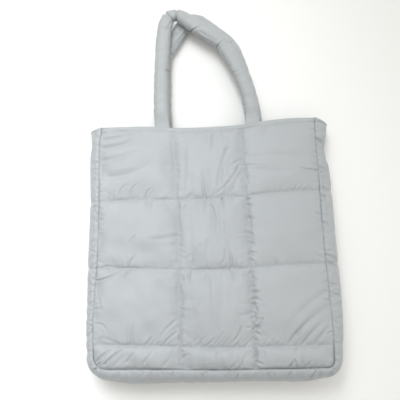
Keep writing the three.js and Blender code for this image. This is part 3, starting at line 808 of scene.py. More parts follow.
def settle(sheet, pins, cut, loose_shares, seed):
    """Lets a pinned flat sheet, cut larger than its outline, puff up and wrinkle. Gives where it settles."""
    start = sheet.points()
    rng = np.random.default_rng(seed)
    start[:, 2] += np.where(pins, 0, rng.uniform(0, RUMPLE, len(start)))
    sheet.place(start)
    cloth_object = bpy.data.objects.new("settling", sheet.mesh)
    bpy.context.scene.collection.objects.link(cloth_object)
    group = cloth_object.vertex_groups.new(name="pins")
    group.add([int(index) for index in np.flatnonzero(pins)], 1.0, "REPLACE")
    loose = cloth_object.vertex_groups.new(name="loose")
    for level in np.unique(loose_shares):
        loose.add([int(index) for index in np.flatnonzero(loose_shares == level)], float(level), "REPLACE")
    modifier = cloth_object.modifiers.new("cloth", "CLOTH")
    settings = modifier.settings
    for name, value in NYLON.items():
        setattr(settings, name, value)
    settings.vertex_group_mass = "pins"
    settings.vertex_group_shrink = "loose"
    settings.shrink_min = -cut["extra"]
    settings.shrink_max = -cut["extra_loose"]
    settings.use_pressure = True
    settings.uniform_pressure_force = cut["pressure"]
    settings.effector_weights.gravity = 0
    modifier.collision_settings.use_collision = False
    modifier.point_cache.frame_start = 1
    modifier.point_cache.frame_end = SETTLING_FRAMES
    scene = bpy.context.scene
    scene.frame_start = 1
    scene.frame_end = SETTLING_FRAMES
    for number in range(1, SETTLING_FRAMES + 1):
        scene.frame_set(number)
    settled = cloth_object.evaluated_get(bpy.context.evaluated_depsgraph_get())
    flat = np.empty(len(start) * 3)
    settled.data.vertices.foreach_get("co", flat)
    bpy.data.objects.remove(cloth_object)
    scene.frame_set(1)
    return flat.reshape(-1, 3)


def settled_relief(sheet, flat, pins, cut, loose_shares, seed):
    """How far each point of a sheet moves across, along and off its flat place as the cloth settles."""
    sheet.place(flat)
    return settle(sheet, pins, cut, loose_shares, seed) - flat


def folded(flat, start, end, bow, width, depth):
    """How far one fold, deepest at its start and fading to its end, moves points of a flat sheet off it."""
    run = end - start
    length = np.hypot(*run)
    run = run / length
    reach = FOLD_REACH * width + abs(bow)
    low = np.minimum(start, end) - reach
    high = np.maximum(start, end) + reach
    near = np.flatnonzero(np.all((flat > low) & (flat < high), axis=1))
    offset = flat[near] - start
    share = offset @ run / length
    side = offset @ np.array([-run[1], run[0]]) - 4 * bow * share * (1 - share)
    beyond = np.clip(np.abs(share - 0.5) - 0.5, 0, None) * length / width
    fade = (1 - FOLD_FADE * np.clip(share, 0, 1) ** 2) * np.exp(-(beyond**2))
    across = side / width
    right_roll = np.exp(-((across - ROLL_PLACE) ** 2) / ROLL_SPREAD)
    left_roll = np.exp(-((across + ROLL_PLACE) ** 2) / ROLL_SPREAD)
    valley = np.exp(-np.abs(across) ** FOLD_POWER)
    lift = np.zeros(len(flat))
    lift[near] = depth * fade * (ROLL_HEIGHT * (right_roll + left_roll) - valley)
    return lift


def fold_lift(flat, folds, size):
    """The lift of a table of folds, whose places are shares of size."""
    lift = np.zeros(len(flat))
    for row in folds:
        start, end = np.array(row["start"]) * size, np.array(row["end"]) * size
        lift += folded(flat, start, end, row["bow"] * MM, row["width"] * MM, row["depth"] * MM)
    return lift


def blurred(sheet, values, reach, reach_along=None):
    """Values on a flat sheet, each the mean of its neighbours up to reach steps away, or reach_along steps
    along its row."""
    rows, columns = sheet.row_breaks[-1] + 1, sheet.column_breaks[-1] + 1
    reaches = (reach, reach if reach_along is None else reach_along)
    grid = np.empty((rows, columns))
    grid[sheet.row, sheet.column] = values
    for axis in (0, 1):
        padding = [(reaches[axis], reaches[axis]) if a == axis else (0, 0) for a in (0, 1)]
        padded = np.pad(grid, padding, mode="edge")
        count = grid.shape[axis]
        steps = 2 * reaches[axis] + 1
        grid = sum(np.take(padded, range(k, k + count), axis) for k in range(steps)) / steps
    return grid[sheet.row, sheet.column]


def rolling(sheet, seed, reach, reach_along):
    """Slow random waves over a flat sheet, mostly from -2 to 2, longer where the reach is longer."""
    values = np.random.default_rng(seed).normal(size=len(sheet.row))
    for _ in range(3):
        values = blurred(sheet, values, reach, reach_along)
    return values / values.std()


def wrinkles(sheet, lift):
    """The fine part of a settled sheet's lift, without the broad swell of its cells."""
    return lift - blurred(sheet, blurred(sheet, lift, 3), 3)


def finer(coarse, fine, values):
    """Values on a coarse sheet, carried to a sheet with more columns and rows between the same lines."""
    rows, columns = coarse.row_breaks[-1] + 1, coarse.column_breaks[-1] + 1
    grid = np.empty((rows, columns))
    grid[coarse.row, coarse.column] = values
    row = fine.row * (rows - 1) / fine.row_breaks[-1]
    column = fine.column * (columns - 1) / fine.column_breaks[-1]
    top, left = np.minimum(row.astype(int), rows - 2), np.minimum(column.astype(int), columns - 2)
    down, over = row - top, column - left
    upper = grid[top, left] * (1 - over) + grid[top, left + 1] * over
    lower = grid[top + 1, left] * (1 - over) + grid[top + 1, left + 1] * over
    return blurred(fine, upper * (1 - down) + lower * down, 1)


def filled_cells(index, breaks, lengths, reaches, fullness, ease=1, reaches_after=None):
    """For each place along a sheet, how full its cell is near the lines beside it, and how high its crown is.
    Each line has its reach before and after it and how full the cloth stays at it, and ease widens or narrows
    the valleys."""
    cell, share = cell_and_share(index, breaks)
    length, reach = np.asarray(lengths)[cell], np.asarray(reaches)
    reach_after = reach if reaches_after is None else np.asarray(reaches_after)
    kept = np.stack([np.broadcast_to(level, share.shape) for level in fullness])
    places = np.arange(len(share))
    after = np.exp(-((share * length / (reach_after[cell] * ease)) ** 1.3))
    before = np.exp(-(((1 - share) * length / (reach[cell + 1] * ease)) ** 1.3))
    after = 1 - (1 - kept[cell, places]) * after
    before = 1 - (1 - kept[cell + 1, places]) * before
    return after * before, 1 - (2 * share - 1) ** 2


def drift(seed, places, spacing):
    """Smooth random numbers from -1 to 1 at places along a line, with a new one each spacing."""
    rng = np.random.default_rng(seed)
    steps = np.asarray(places) / spacing
    low = np.floor(steps).astype(int)
    values = rng.uniform(-1, 1, low.max() - low.min() + 2)
    low_step = low - low.min()
    ease = steps - low
    ease = ease * ease * (3 - 2 * ease)
    return values[low_step] * (1 - ease) + values[low_step + 1] * ease


def made(name, bm, material):
    """Makes a finished bmesh an object of one material in the scene."""
    mesh = bpy.data.meshes.new(name)
    bm.to_mesh(mesh)
    bm.free()
    mesh.materials.append(material)
    piece = bpy.data.objects.new(name, mesh)
    bpy.context.scene.collection.objects.link(piece)
    return piece


def padded_wall(name, sides, material):
    """Closes an outer sheet with an inner one round their edges and makes it a padded piece. Each side is its
    sheet, the places of its points and their flat places."""
    bm = bmesh.new()
    uv_layer = bm.loops.layers.uv.new("cloth")
    for sheet, places, flat in sides:
        first_vert, first_face = len(bm.verts), len(bm.faces)
        bm.from_mesh(sheet.mesh)
        bm.verts.index_update()
        bm.verts.ensure_lookup_table()
        bm.faces.ensure_lookup_table()
        for vert, place in zip(bm.verts[first_vert:], places):
            vert.co = place
        for face in bm.faces[first_face:]:
            for loop in face.loops:
                loop[uv_layer].uv = flat[loop.vert.index - first_vert]
    bmesh.ops.reverse_faces(bm, faces=bm.faces[first_face:])
    border = [edge for edge in bm.edges if edge.is_boundary]
    rim = bmesh.ops.bridge_loops(bm, edges=border)["faces"]
    rim_set = set(rim)
    cross = [
        edge for edge in {edge for face in rim for edge in face.edges}
        if all(face in rim_set for face in edge.link_faces)
    ]
    split = bmesh.ops.subdivide_edges(bm, edges=cross, cuts=1)
    bm.normal_update()
    for item in split["geom_inner"]:
        if isinstance(item, bmesh.types.BMVert):
            outwards = sum((face.normal for face in item.link_faces), Vector()).normalized()
            item.co += outwards * EDGE_ROUND
    for face in bm.faces:
        face.smooth = True
    bmesh.ops.recalc_face_normals(bm, faces=bm.faces[:])
    return made(name, bm, material)


def sew(name, lines, spacing, colour):
    """Runs of stitches along lines of points, joined as one piece."""
    bm = bmesh.new()
    for line in lines:
        steps = np.linalg.norm(np.diff(line, axis=0), axis=1)
        distance = np.concatenate([[0], np.cumsum(steps)])
        count = int(distance[-1] / spacing)
        for place in (np.arange(count) + 0.5) * distance[-1] / count:
            ends = [
                Vector([np.interp(place + shift, distance, line[:, axis]) for axis in range(3)])
                for shift in (-STITCH_SHARE * spacing / 2, STITCH_SHARE * spacing / 2)
            ]
            run = ends[1] - ends[0]
            turn = run.to_track_quat("X", "Z").to_matrix().to_4x4()
            size = Matrix.Diagonal((run.length / 2 + THREAD_RADIUS, THREAD_RADIUS, THREAD_RADIUS, 1))
            middle = Matrix.Translation((ends[0] + ends[1]) / 2)
            bmesh.ops.create_icosphere(bm, subdivisions=1, radius=1, matrix=middle @ turn @ size)
    for face in bm.faces:
        face.smooth = True
    piece = made(name, bm, shared(thread_material, "thread", colour))
    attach(piece, BODY)


def dress(piece, node):
    """Declares a padded piece that stands for a node of the frame."""
    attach(piece, BODY)
    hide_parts(node)


def set_inputs(node, **values):
    """Sets a shader node's inputs by name."""
    for name, value in values.items():
        node.inputs[name.replace("_", " ")].default_value = value


def node_of(tree, kind, **values):
    """Adds a shader node with its inputs set."""
    node = tree.nodes.new(kind)
    set_inputs(node, **values)
    return node


def new_material(name, **values):
    """A material, its node tree and its shader with the shader's inputs set."""
    material = bpy.data.materials.new(name)
    material.use_nodes = True
    shader = material.node_tree.nodes["Principled BSDF"]
    set_inputs(shader, **values)
    return material, material.node_tree, shader


def nylon(name, colour):
    """Plain-weave nylon over wadding: a satin sheen, a fine weave and a faint crumple."""
    material, tree, shader = new_material(
        name, Sheen_Weight=0.12, Sheen_Roughness=0.45, Specular_IOR_Level=0.38
    )
    place = tree.nodes.new("ShaderNodeTexCoord")
    uv = tree.nodes.new("ShaderNodeUVMap")
    uv.uv_map = "cloth"
    blotch = node_of(tree, "ShaderNodeTexNoise", Scale=9.0, Detail=3.0, Roughness=0.5)
    tree.links.new(place.outputs["Object"], blotch.inputs["Vector"])
    ramp = tree.nodes.new("ShaderNodeValToRGB")
    ramp.color_ramp.elements[0].position = 0.3
    ramp.color_ramp.elements[0].color = (*[c * 0.965 for c in colour], 1)
    ramp.color_ramp.elements[1].position = 0.7
    ramp.color_ramp.elements[1].color = (*[min(c * 1.03, 1) for c in colour], 1)
    tree.links.new(blotch.outputs["Fac"], ramp.inputs["Fac"])
    tree.links.new(ramp.outputs["Color"], shader.inputs["Base Color"])
    rough = node_of(tree, "ShaderNodeMapRange", To_Min=0.44, To_Max=0.54)
    tree.links.new(blotch.outputs["Fac"], rough.inputs["Value"])
    tree.links.new(rough.outputs["Result"], shader.inputs["Roughness"])
    weave = []
    for direction in ("X", "Y"):
        wave = node_of(tree, "ShaderNodeTexWave", Scale=310.0, Distortion=0.6, Detail=1.0, Detail_Scale=2.0)
        wave.bands_direction = direction
        tree.links.new(uv.outputs["UV"], wave.inputs["Vector"])
        weave.append(wave)
    crossed = tree.nodes.new("ShaderNodeMath")
    crossed.operation = "MULTIPLY"
    tree.links.new(weave[0].outputs["Fac"], crossed.inputs[0])
    tree.links.new(weave[1].outputs["Fac"], crossed.inputs[1])
    crumple = node_of(tree, "ShaderNodeTexNoise", Scale=70.0, Detail=4.0, Roughness=0.6)
    tree.links.new(place.outputs["Object"], crumple.inputs["Vector"])
    soft = node_of(tree, "ShaderNodeBump", Strength=0.22, Distance=0.0010)
    tree.links.new(crumple.outputs["Fac"], soft.inputs["Height"])
    fine = node_of(tree, "ShaderNodeBump", Strength=0.25, Distance=0.0001)
    tree.links.new(crossed.outputs["Value"], fine.inputs["Height"])
    tree.links.new(soft.outputs["Normal"], fine.inputs["Normal"])
    tree.links.new(fine.outputs["Normal"], shader.inputs["Normal"])
    return material


def thread_material(name, colour):
    """Twisted polyester thread."""
    material, tree, shader = new_material(name, Roughness=0.6)
    place = tree.nodes.new("ShaderNodeTexCoord")
    twist = node_of(tree, "ShaderNodeTexWave", Scale=900.0, Distortion=1.0)
    twist.bands_direction = "DIAGONAL"
    tree.links.new(place.outputs["Object"], twist.inputs["Vector"])
    ramp = tree.nodes.new("ShaderNodeValToRGB")
    ramp.color_ramp.elements[0].color = (*[c * 0.8 for c in colour], 1)
    ramp.color_ramp.elements[1].color = (*colour, 1)
    tree.links.new(twist.outputs["Fac"], ramp.inputs["Fac"])
    tree.links.new(ramp.outputs["Color"], shader.inputs["Base Color"])
    bump = node_of(tree, "ShaderNodeBump", Strength=0.4, Distance=0.0001)
    tree.links.new(twist.outputs["Fac"], bump.inputs["Height"])
    tree.links.new(bump.outputs["Normal"], shader.inputs["Normal"])
    return material


def shared(kind, name, colour):
    """A material made once and used by several pieces."""
    return bpy.data.materials.get(name) or kind(name, colour)


class QuiltedPanel:
    """A panel's flat sheet, its quilting lines and its settled relief."""

    def __init__(self, form, spacing, steps=1):
        self.form = form
        self.cell_widths = FLAT_CELL_WIDTHS * form.width
        self.cell_heights = FLAT_CELL_HEIGHTS * form.height
        self.sheet = FlatSheet(
            [round(width / spacing) * steps for width in self.cell_widths],
            [round(height / spacing) * steps for height in self.cell_heights],
        )
        sheet = self.sheet
        rough_up = self.rows_at(np.zeros(len(sheet.row)))
        self.across = self.columns_at(rough_up)
        self.up = self.rows_at(self.across)
        self.x, self.y = form.plan(self.across, self.up)
        level = np.isin(sheet.row, sheet.row_breaks)
        upright = np.isin(sheet.column, sheet.column_breaks) & (sheet.row <= sheet.row_breaks[-2])
        side = (sheet.column == 0) | (sheet.column == sheet.column_breaks[-1])
        self.pins = level | upright | side
        self.border = side | (sheet.row == 0)
        self.hem = sheet.row > sheet.row_breaks[-2]

    def columns_at(self, up):
        lines = [-1, along(QUILT_COLUMNS, "first", up), along(QUILT_COLUMNS, "second", up), 1]
        return FlatSheet.between(self.sheet.column, self.sheet.column_breaks, lines)

    def rows_at(self, across):
        lines = [0] + [along(QUILT_ROWS, name, across) for name in ("low", "middle", "high")]
        lines += [1 - HEM_DEPTH / self.form.height, 1]
        return FlatSheet.between(self.sheet.row, self.sheet.row_breaks, lines)

    def settled(self, loose_shares, seed):
        """Relief of the puffed sheet, held at its lines of stitches."""
        flat = np.column_stack([self.x, self.y, np.zeros(len(self.x))])
        return settled_relief(self.sheet, flat, self.pins, PANEL_CUT, loose_shares, seed)

    def flat(self):
        """Places of the sheet's points as it lies flat, across from its middle and up from its base."""
        return np.column_stack([self.across * self.form.width / 2, self.up * self.form.height])

    def swell(self, height):
        """The plain swell of the cells, without wrinkles."""
        sheet = self.sheet
        flat = self.flat()
        reaches = [REACH_SIDE, REACH_UPRIGHT, REACH_UPRIGHT, REACH_SIDE]
        side = SIDE_FULLNESS * smoothstep(self.up, 0.03, 0.11)
        fullness = [side, FIRST_FULLNESS, 0, side]
        ease = 1 + 0.55 * drift(31, flat[:, 1], 9 * MM) + 0.25 * drift(32, flat[:, 1], 3.5 * MM)
        after = [REACH_SIDE, REACH_OVERHUNG, REACH_OVERHUNG, REACH_SIDE]
        sides, crown = filled_cells(
            sheet.column, sheet.column_breaks, self.cell_widths, reaches, fullness, ease, after
        )
        reaches = [REACH_BASE, REACH_LEVEL, REACH_LEVEL, REACH_LEVEL, REACH_LEVEL, REACH_LEVEL]
        fullness = [0, LEVEL_FULLNESS, LEVEL_FULLNESS, LEVEL_FULLNESS, HEM_FULLNESS, HEM_FULLNESS]
        ease = 1 + 0.60 * drift(33, flat[:, 0], 8 * MM) + 0.30 * drift(34, flat[:, 0], 3 * MM)
        ends, arch = filled_cells(sheet.row, sheet.row_breaks, self.cell_heights, reaches, fullness, ease)
        cells = sides * ends * (1 - CROWN_SHARE + CROWN_SHARE * crown * arch)
        down = (1 - self.up) * self.form.height / HEM_DEPTH
        rolled = HEM_FULLNESS * (1 - CROWN_SHARE) * np.sqrt(np.clip(1 - (1 - down) ** 2, 0, 1))
        return height * np.where(self.hem, rolled, cells)

    def away(self):
        """How far each point is from the nearest line of stitches or seam."""
        sheet = self.sheet
        distances = []
        for index, breaks, lengths in (
            (sheet.column, sheet.column_breaks, self.cell_widths),
            (sheet.row, sheet.row_breaks, self.cell_heights),
        ):
            cell, share = cell_and_share(index, breaks)
            distances.append(np.minimum(share, 1 - share) * lengths[cell])
        return np.minimum(*distances)

    def half_wall(self):
        """Half the thickness of the wall at each point, without its puff."""
        return np.where(self.border, SEAM_WALL, np.where(self.hem, HEM_WALL, STITCHED_WALL)) / 2

    def front_places(self, slip_x, slip_y, height):
        """Places of the front's points, slipped along the cloth, at heights worked out from the level of the
        wall's middle and half its thickness."""
        level = self.form.front_height(self.across, self.up)
        return np.column_stack([self.x + slip_x, self.y + slip_y, height(level, self.half_wall())])

    def line_place(self, line, share):
        """The flat place of a share along a line of stitches, and the way its upper or right side lies."""
        names = {"first": 0, "second": 0, "left": -1, "right": 1}
        if line in names:
            across = along(QUILT_COLUMNS, line, share) if line in ("first", "second") else names[line]
            return np.array([across * self.form.width / 2, share * self.form.height]), np.array([1, 0])
        across = 2 * share - 1
        if line in ("low", "middle", "high"):
            up = along(QUILT_ROWS, line, across)
        else:
            up = {"base": 0, "hem": 1 - HEM_DEPTH / self.form.height}[line]
        return np.array([across * self.form.width / 2, up * self.form.height]), np.array([0, 1])

    def gather_lift(self, table, seed):
        """Small gathers of the cloth along its lines of stitches."""
        rng = np.random.default_rng(seed)
        flat = self.flat()
        lift = np.zeros(len(flat))
        for row in table:
            upright = row["line"] in ("first", "second", "left", "right")
            low, high = row["span"]
            length = (high - low) * (self.form.height if upright else self.form.width)
            count = max(round(length / (row["pitch"] * MM)), 1)
            steps = np.arange(count) + rng.uniform(0.1, 0.9, count)
            for share in low + (high - low) * steps / count:
                start, away = self.line_place(row["line"], np.array(share))
                ease = rng.uniform(0.35, 1.3)
                slant = row["slant"] + rng.uniform(-0.7, 0.7)
                end = start + row["length"] * MM * ease * (row["side"] * away + slant * away[::-1])
                width = (0.75 + 0.5 * row["depth"]) * rng.uniform(0.85, 1.5) * MM
                depth = row["depth"] * MM * (0.3 + 1.9 * rng.uniform() ** 2)
                lift += folded(flat, start, end, rng.uniform(-1, 1) * MM, width, depth)
        return lift

    def stitch_lines(self, points):
        """The quilting lines and the hem line of a panel, as lines of its sheet's own points."""
        sheet = self.sheet
        lines = []
        for column in sheet.column_breaks[1:-1]:
            chosen = np.flatnonzero((sheet.column == column) & (sheet.row <= sheet.row_breaks[-2]))
            lines.append(points[chosen[np.argsort(sheet.row[chosen])]])
        for row in sheet.row_breaks[1:-1]:
            chosen = np.flatnonzero(sheet.row == row)
            lines.append(points[chosen[np.argsort(sheet.column[chosen])]])
        return lines


def front_looseness(panel):
    """How full the front's cloth was cut, in steps of a tenth: fuller in the upper middle column, and fullest
    along the lower half of the second upright line and along the base."""
    fullness = 0.35 * np.exp(-((panel.across / 0.25) ** 2)) * (panel.up > 0.35)
    fullness += 0.8 * np.exp(-(((panel.across - 0.36) / 0.10) ** 2) - ((panel.up - 0.25) / 0.18) ** 2)
    fullness += 0.9 * np.exp(-((panel.up / 0.06) ** 2))
    return np.round(np.clip(fullness, 0, 1) * 10) / 10


class TOTE_OT_front_panel(bpy.types.Operator):
    """Sews the quilted front panel."""

    bl_idname = "tote.front_panel"
    bl_label = "Front Panel"

    def execute(self, context):
        sizes = context.scene.tote_sizes
        form = BagForm(sizes)
        coarse = QuiltedPanel(form, FRONT_STEP)
        panel = QuiltedPanel(form, FRONT_STEP, steps=2)
        relief = coarse.settled(front_looseness(coarse), seed=7)
        middle_wrinkles = SIDE_WRINKLE + (1 - SIDE_WRINKLE) * np.exp(-((coarse.across / 0.4) ** 4))
        relief[:, 2] = WRINKLE * middle_wrinkles * wrinkles(coarse.sheet, relief[:, 2])
        coarse_lift = coarse.swell(sizes.swell) + relief[:, 2]
        slip_x, slip_y, wrinkle = (finer(coarse.sheet, panel.sheet, relief[:, axis]) for axis in range(3))
        sewn = 1 - np.exp(-((panel.away() / STITCH_HOLD) ** 2))
        creases = fold_lift(panel.flat(), form.front_folds(), np.array([form.width / 2, form.height]))
        creases += panel.gather_lift(GATHERS, seed=3)
        waves = WAVES * (1 + 0.6 * smoothstep(-panel.across, 0.2, 0.5))
        creases += waves * rolling(panel.sheet, seed=41, reach=5, reach_along=5)
        streaks = rolling(panel.sheet, seed=42, reach=12, reach_along=2)
        creases += STREAKS * streaks * np.exp(-((panel.across / 0.3) ** 4))
        puff = panel.swell(sizes.swell) + sewn * (wrinkle + creases)
        outer = panel.front_places(slip_x, slip_y, lambda level, half: level + half + puff)
        inner = coarse.front_places(
            relief[:, 0], relief[:, 1], lambda level, half: level - half - INNER_SHARE * coarse_lift
        )
        material = shared(nylon, "shell_nylon", context.scene.tote_colours.shell)
        sides = [(panel.sheet, outer, panel.flat()), (coarse.sheet, inner, coarse.flat())]
        piece = padded_wall("front_padding", sides, material)
        dress(piece, "front_panel")
        lines = panel.stitch_lines(outer + [0, 0, THREAD_RADIUS / 2])
        sew("front_stitches", lines, sizes.stitch_length, context.scene.tote_colours.thread)
        return {"FINISHED"}


class TOTE_OT_back_panel(bpy.types.Operator):
    """Sews the quilted back panel, pressed flat where the bag lies on it."""

    bl_idname = "tote.back_panel"
    bl_label = "Back Panel"

    def execute(self, context):
        sizes = context.scene.tote_sizes
        form = BagForm(sizes)
        panel = QuiltedPanel(form, BACK_STEP)
        relief = panel.settled(np.zeros(len(panel.x)), seed=11)
        sewn = 1 - np.exp(-((panel.away() / STITCH_HOLD) ** 2))
        creases = WRINKLE * wrinkles(panel.sheet, relief[:, 2]) + panel.gather_lift(GATHERS, seed=13)
        puff = panel.swell(sizes.swell) + sewn * creases
        half = panel.half_wall()
        x = panel.x + relief[:, 0]
        y = panel.y + relief[:, 1]
        low = BACK_SEAM_HEIGHT - half - puff
        pressed = FLOOR_GAP + np.logaddexp(0, low / MM / 0.5) * 0.5 * MM
        inner = np.column_stack([x, y, BACK_SEAM_HEIGHT + half + INNER_SHARE * puff])
        outer = np.column_stack([x, y, pressed])
        material = shared(nylon, "shell_nylon", context.scene.tote_colours.shell)
        sides = [(panel.sheet, inner, panel.flat()), (panel.sheet, outer, panel.flat())]
        piece = padded_wall("back_padding", sides, material)
        dress(piece, "back_panel")
        lines = panel.stitch_lines(inner + [0, 0, THREAD_RADIUS / 2])
        lines += panel.stitch_lines(outer - [0, 0, THREAD_RADIUS / 2])
        sew("back_stitches", lines, sizes.stitch_length, context.scene.tote_colours.thread)
        return {"FINISHED"}


class TOTE_OT_gusset(bpy.types.Operator):
    """Sews the gusset, one padded band rolled outwards round the sides and the base."""

    bl_idname = "tote.gusset"
    bl_label = "Gusset"

    def execute(self, context):
        sizes = context.scene.tote_sizes
        form = BagForm(sizes)
        hem = HEM_DEPTH / form.height
        left_rows, _, right_rows = QUILT_ROWS
        lines = np.array([
            0, hem, 1 - left_rows["high"], 1 - left_rows["middle"],
            1, 2,
            2 + right_rows["middle"], 2 + right_rows["high"], 3 - hem, 3,
        ])
        lengths = np.diff(lines) * np.where(lines[1:] <= 1, form.height, form.width)
        lengths[lines[:-1] >= 2] = np.diff(lines)[lines[:-1] >= 2] * form.height
        counts = [max(round(length / GUSSET_STEP), 2) for length in lengths]
        across_count = round(GUSSET_BAND / GUSSET_STEP)
        sheet = FlatSheet(counts, [across_count])
        at = FlatSheet.between(sheet.column, sheet.column_breaks, lines)
        turn = 1 - 2 * sheet.row / across_count
        run = np.concatenate([[0], np.cumsum(lengths)])
        distance = np.interp(at, lines, run)
        flat = np.column_stack([distance, -turn * GUSSET_BAND / 2, np.zeros(len(at))])
        seam_columns = [c for c, line in zip(sheet.column_breaks, lines) if line not in (1, 2)]
        pins = np.isin(sheet.column, seam_columns) | (np.abs(turn) == 1)
        loose_shares = np.where((at > 1) & (at < 2), 1.0, 0.0)
        relief = settled_relief(sheet, flat, pins, GUSSET_CUT, loose_shares, 5)
        settled_wrinkle = wrinkles(sheet, relief[:, 2])
        fine = FlatSheet([2 * count for count in counts], [2 * across_count])
        fine_at = FlatSheet.between(fine.column, fine.column_breaks, lines)
        fine_turn = 1 - fine.row / across_count
        fine_values = (finer(sheet, fine, values) for values in (relief[:, 0], relief[:, 1], settled_wrinkle))
        sides = []
        for side, side_at, side_turn, (slip, slip_across, wrinkle) in (
            (fine, fine_at, fine_turn, fine_values),
            (sheet, at, turn, (relief[:, 0], relief[:, 1], settled_wrinkle)),
        ):
            away = np.interp(side_at, lines, run)
            flat_side = np.column_stack([away, side_turn * GUSSET_BAND / 2])
            seams = side.row, side.row_breaks, [GUSSET_BAND]
            base_ends, _ = filled_cells(*seams, [REACH_BASE] * 2, [0, 0])
            side_ends, _ = filled_cells(*seams, [REACH_SIDE] * 2, [SIDE_FULLNESS] * 2)
            seam_ends = base_ends + (side_ends - base_ends) * beside(side_at)
            reaches, fullness = [GUSSET_REACH] * len(lines), [0] * len(lines)
            quilted, _ = filled_cells(side.column, side.column_breaks, lengths, reaches, fullness)
            held = np.where((side_at > 0.9) & (side_at < 2.1), 1, 1 - GUSSET_QUILTING * (1 - quilted))
            swell = (GUSSET_FULLEST - STITCHED_WALL) / 2 * seam_ends * held
            creases = fold_lift(flat_side, GUSSET_FOLDS, np.array([MM, GUSSET_BAND / 2]))
            creases += self.gathers(flat_side, run[-1], seed=17)
            calm = 0.3 + 0.7 * smoothstep(np.abs(side_turn), 0.15, 0.6)
            puff = swell + seam_ends * calm * (GUSSET_WRINKLE * wrinkle + creases)
            moved_at = np.clip(np.interp(away + slip, run, lines), 0, 3)
            moved_turn = np.clip(side_turn - slip_across / (GUSSET_BAND / 2), -1, 1)
            half = np.where(np.abs(side_turn) == 1, SEAM_WALL, STITCHED_WALL) / 2
            lift = half + puff if side is fine else -half - INNER_SHARE * puff
            sides.append((side, form.gusset_point(moved_at, moved_turn, lift), flat_side))
        material = shared(nylon, "shell_nylon", context.scene.tote_colours.shell)
        piece = padded_wall("gusset_padding", sides, material)
        dress(piece, "gusset")
        return {"FINISHED"}

    def gathers(self, flat, length, seed):
        """Small gathers of the gusset along both of its seams."""
        rng = np.random.default_rng(seed)
        lift = np.zeros(len(flat))
        for side in (1, -1):
            count = round(length / GUSSET_GATHERS["pitch"] / MM)
            for place in (np.arange(count) + rng.uniform(0.1, 0.9, count)) / count * length:
                start = np.array([place, side * GUSSET_BAND / 2])
                reach = GUSSET_GATHERS["length"] * MM * rng.uniform(0.3, 1.5)
                end = start + reach * np.array([rng.uniform(-0.9, 0.5), -side])
                depth = GUSSET_GATHERS["depth"] * MM * rng.uniform(0.2, 1.4)
                lift += folded(flat, start, end, rng.uniform(-1, 1) * MM, rng.uniform(0.9, 1.6) * MM, depth)
        return lift


class HandleForm:
    """The surface of one padded handle: a tube from a tab under the hem, round its loop and back."""

    def __init__(self, form, sizes, sections, tab_height, rest_height):
        self.width = sizes.handle_width
        self.thickness = sizes.handle_thickness
        across = np.array([section["across"] for section in sections])
        reach = np.array([section["reach"] for section in sections])
        past_mouth = reach * sizes.handle_drop
        points = np.column_stack([
            across * form.width / 2, form.height / 2 + past_mouth, np.full(len(across), rest_height)
        ])
        inside_up = 1 - TAB_LENGTH / form.height
        insides = []
        for end in (0, -1):
            x, y = form.plan(across[[end]], np.array([1.0]))
            points[end] = (x[0], y[0], tab_height(across[[end]], np.array([1.0]))[0])
            insides.append((x[0], y[0] - TAB_LENGTH, tab_height(across[[end]], np.array([inside_up]))[0]))
        points = np.vstack([insides[0], points, insides[1]])
        self.share, self.line = self.smooth_line(points)
        steps = np.linalg.norm(np.diff(self.line, axis=0), axis=1)
        self.distance = np.concatenate([[0], np.cumsum(steps)])
        self.length = self.distance[-1]
        count = len(points) - 1
        self.widths = [
            {"at": (index + 1) / count, "width": section["width"]} for index, section in enumerate(sections)
        ]

    @staticmethod
    def smooth_line(points):
        """A centripetal curve through points: each fine sample's share of the way and its place."""
        gaps = np.linalg.norm(np.diff(points, axis=0), axis=1) ** 0.5
        before = np.vstack([2 * points[0] - points[1], points[:-1]])
        after = np.vstack([points[1:], 2 * points[-1] - points[-2]])
        gap_in = np.concatenate([[gaps[0]], gaps])[:, None]
        gap_out = np.concatenate([gaps, [gaps[-1]]])[:, None]
        slopes = (points - before) / gap_in - (after - before) / (gap_in + gap_out)
        slopes += (after - points) / gap_out
        share = np.linspace(0, len(gaps), 40 * len(gaps) + 1)
        row = np.clip(share.astype(int), 0, len(gaps) - 1)
        places = curve(points, slopes, row, gaps[row][:, None], (share - row)[:, None])
        return share / len(gaps), places

    def on_line(self, distance):
        """Places on the handle's middle line at distances along it."""
        distance = np.clip(distance, 0, self.length)
        return np.column_stack([np.interp(distance, self.distance, self.line[:, axis]) for axis in range(3)])

    def point(self, distance, angle, lift):
        """Points of the tube's cloth: distance along it, angle round it from its outer side over its top."""
        centre = self.on_line(distance)
        step = 1.5 * MM
        forwards = self.on_line(distance + step) - self.on_line(distance - step)
        forwards /= np.linalg.norm(forwards, axis=1, keepdims=True)
        sideways = np.column_stack([-forwards[:, 1], forwards[:, 0], np.zeros(len(forwards))])
        sideways /= np.linalg.norm(sideways, axis=1, keepdims=True)
        upwards = np.cross(forwards, sideways)
        from_end = np.minimum(distance, self.length - distance)
        filling = smoothstep(from_end, TAB_LENGTH, TAB_LENGTH + HANDLE_TAPER * self.width)
        width_share = along(self.widths, "width", np.interp(distance, self.distance, self.share))
        half_width = self.width / 2 * (1 + (width_share - 1) * filling)
        half_thickness = (TAB_THICKNESS + (self.thickness - TAB_THICKNESS) * filling) / 2
        out, up = np.cos(angle), np.sin(angle)
        side = np.sign(out) * np.abs(out) ** HANDLE_SQUARENESS * half_width
        rise = np.sign(up) * np.abs(up) ** HANDLE_SQUARENESS * half_thickness
        normal_out, normal_up = out * half_thickness, up * half_width
        normal = np.hypot(normal_out, normal_up)
        lift = lift * (0.15 + 0.85 * filling)
        side += lift * normal_out / normal
        rise += lift * normal_up / normal
        points = centre + sideways * side[:, None] + upwards * rise[:, None]
        points[:, 2] = np.maximum(points[:, 2], FLOOR_GAP / 2)
        return points


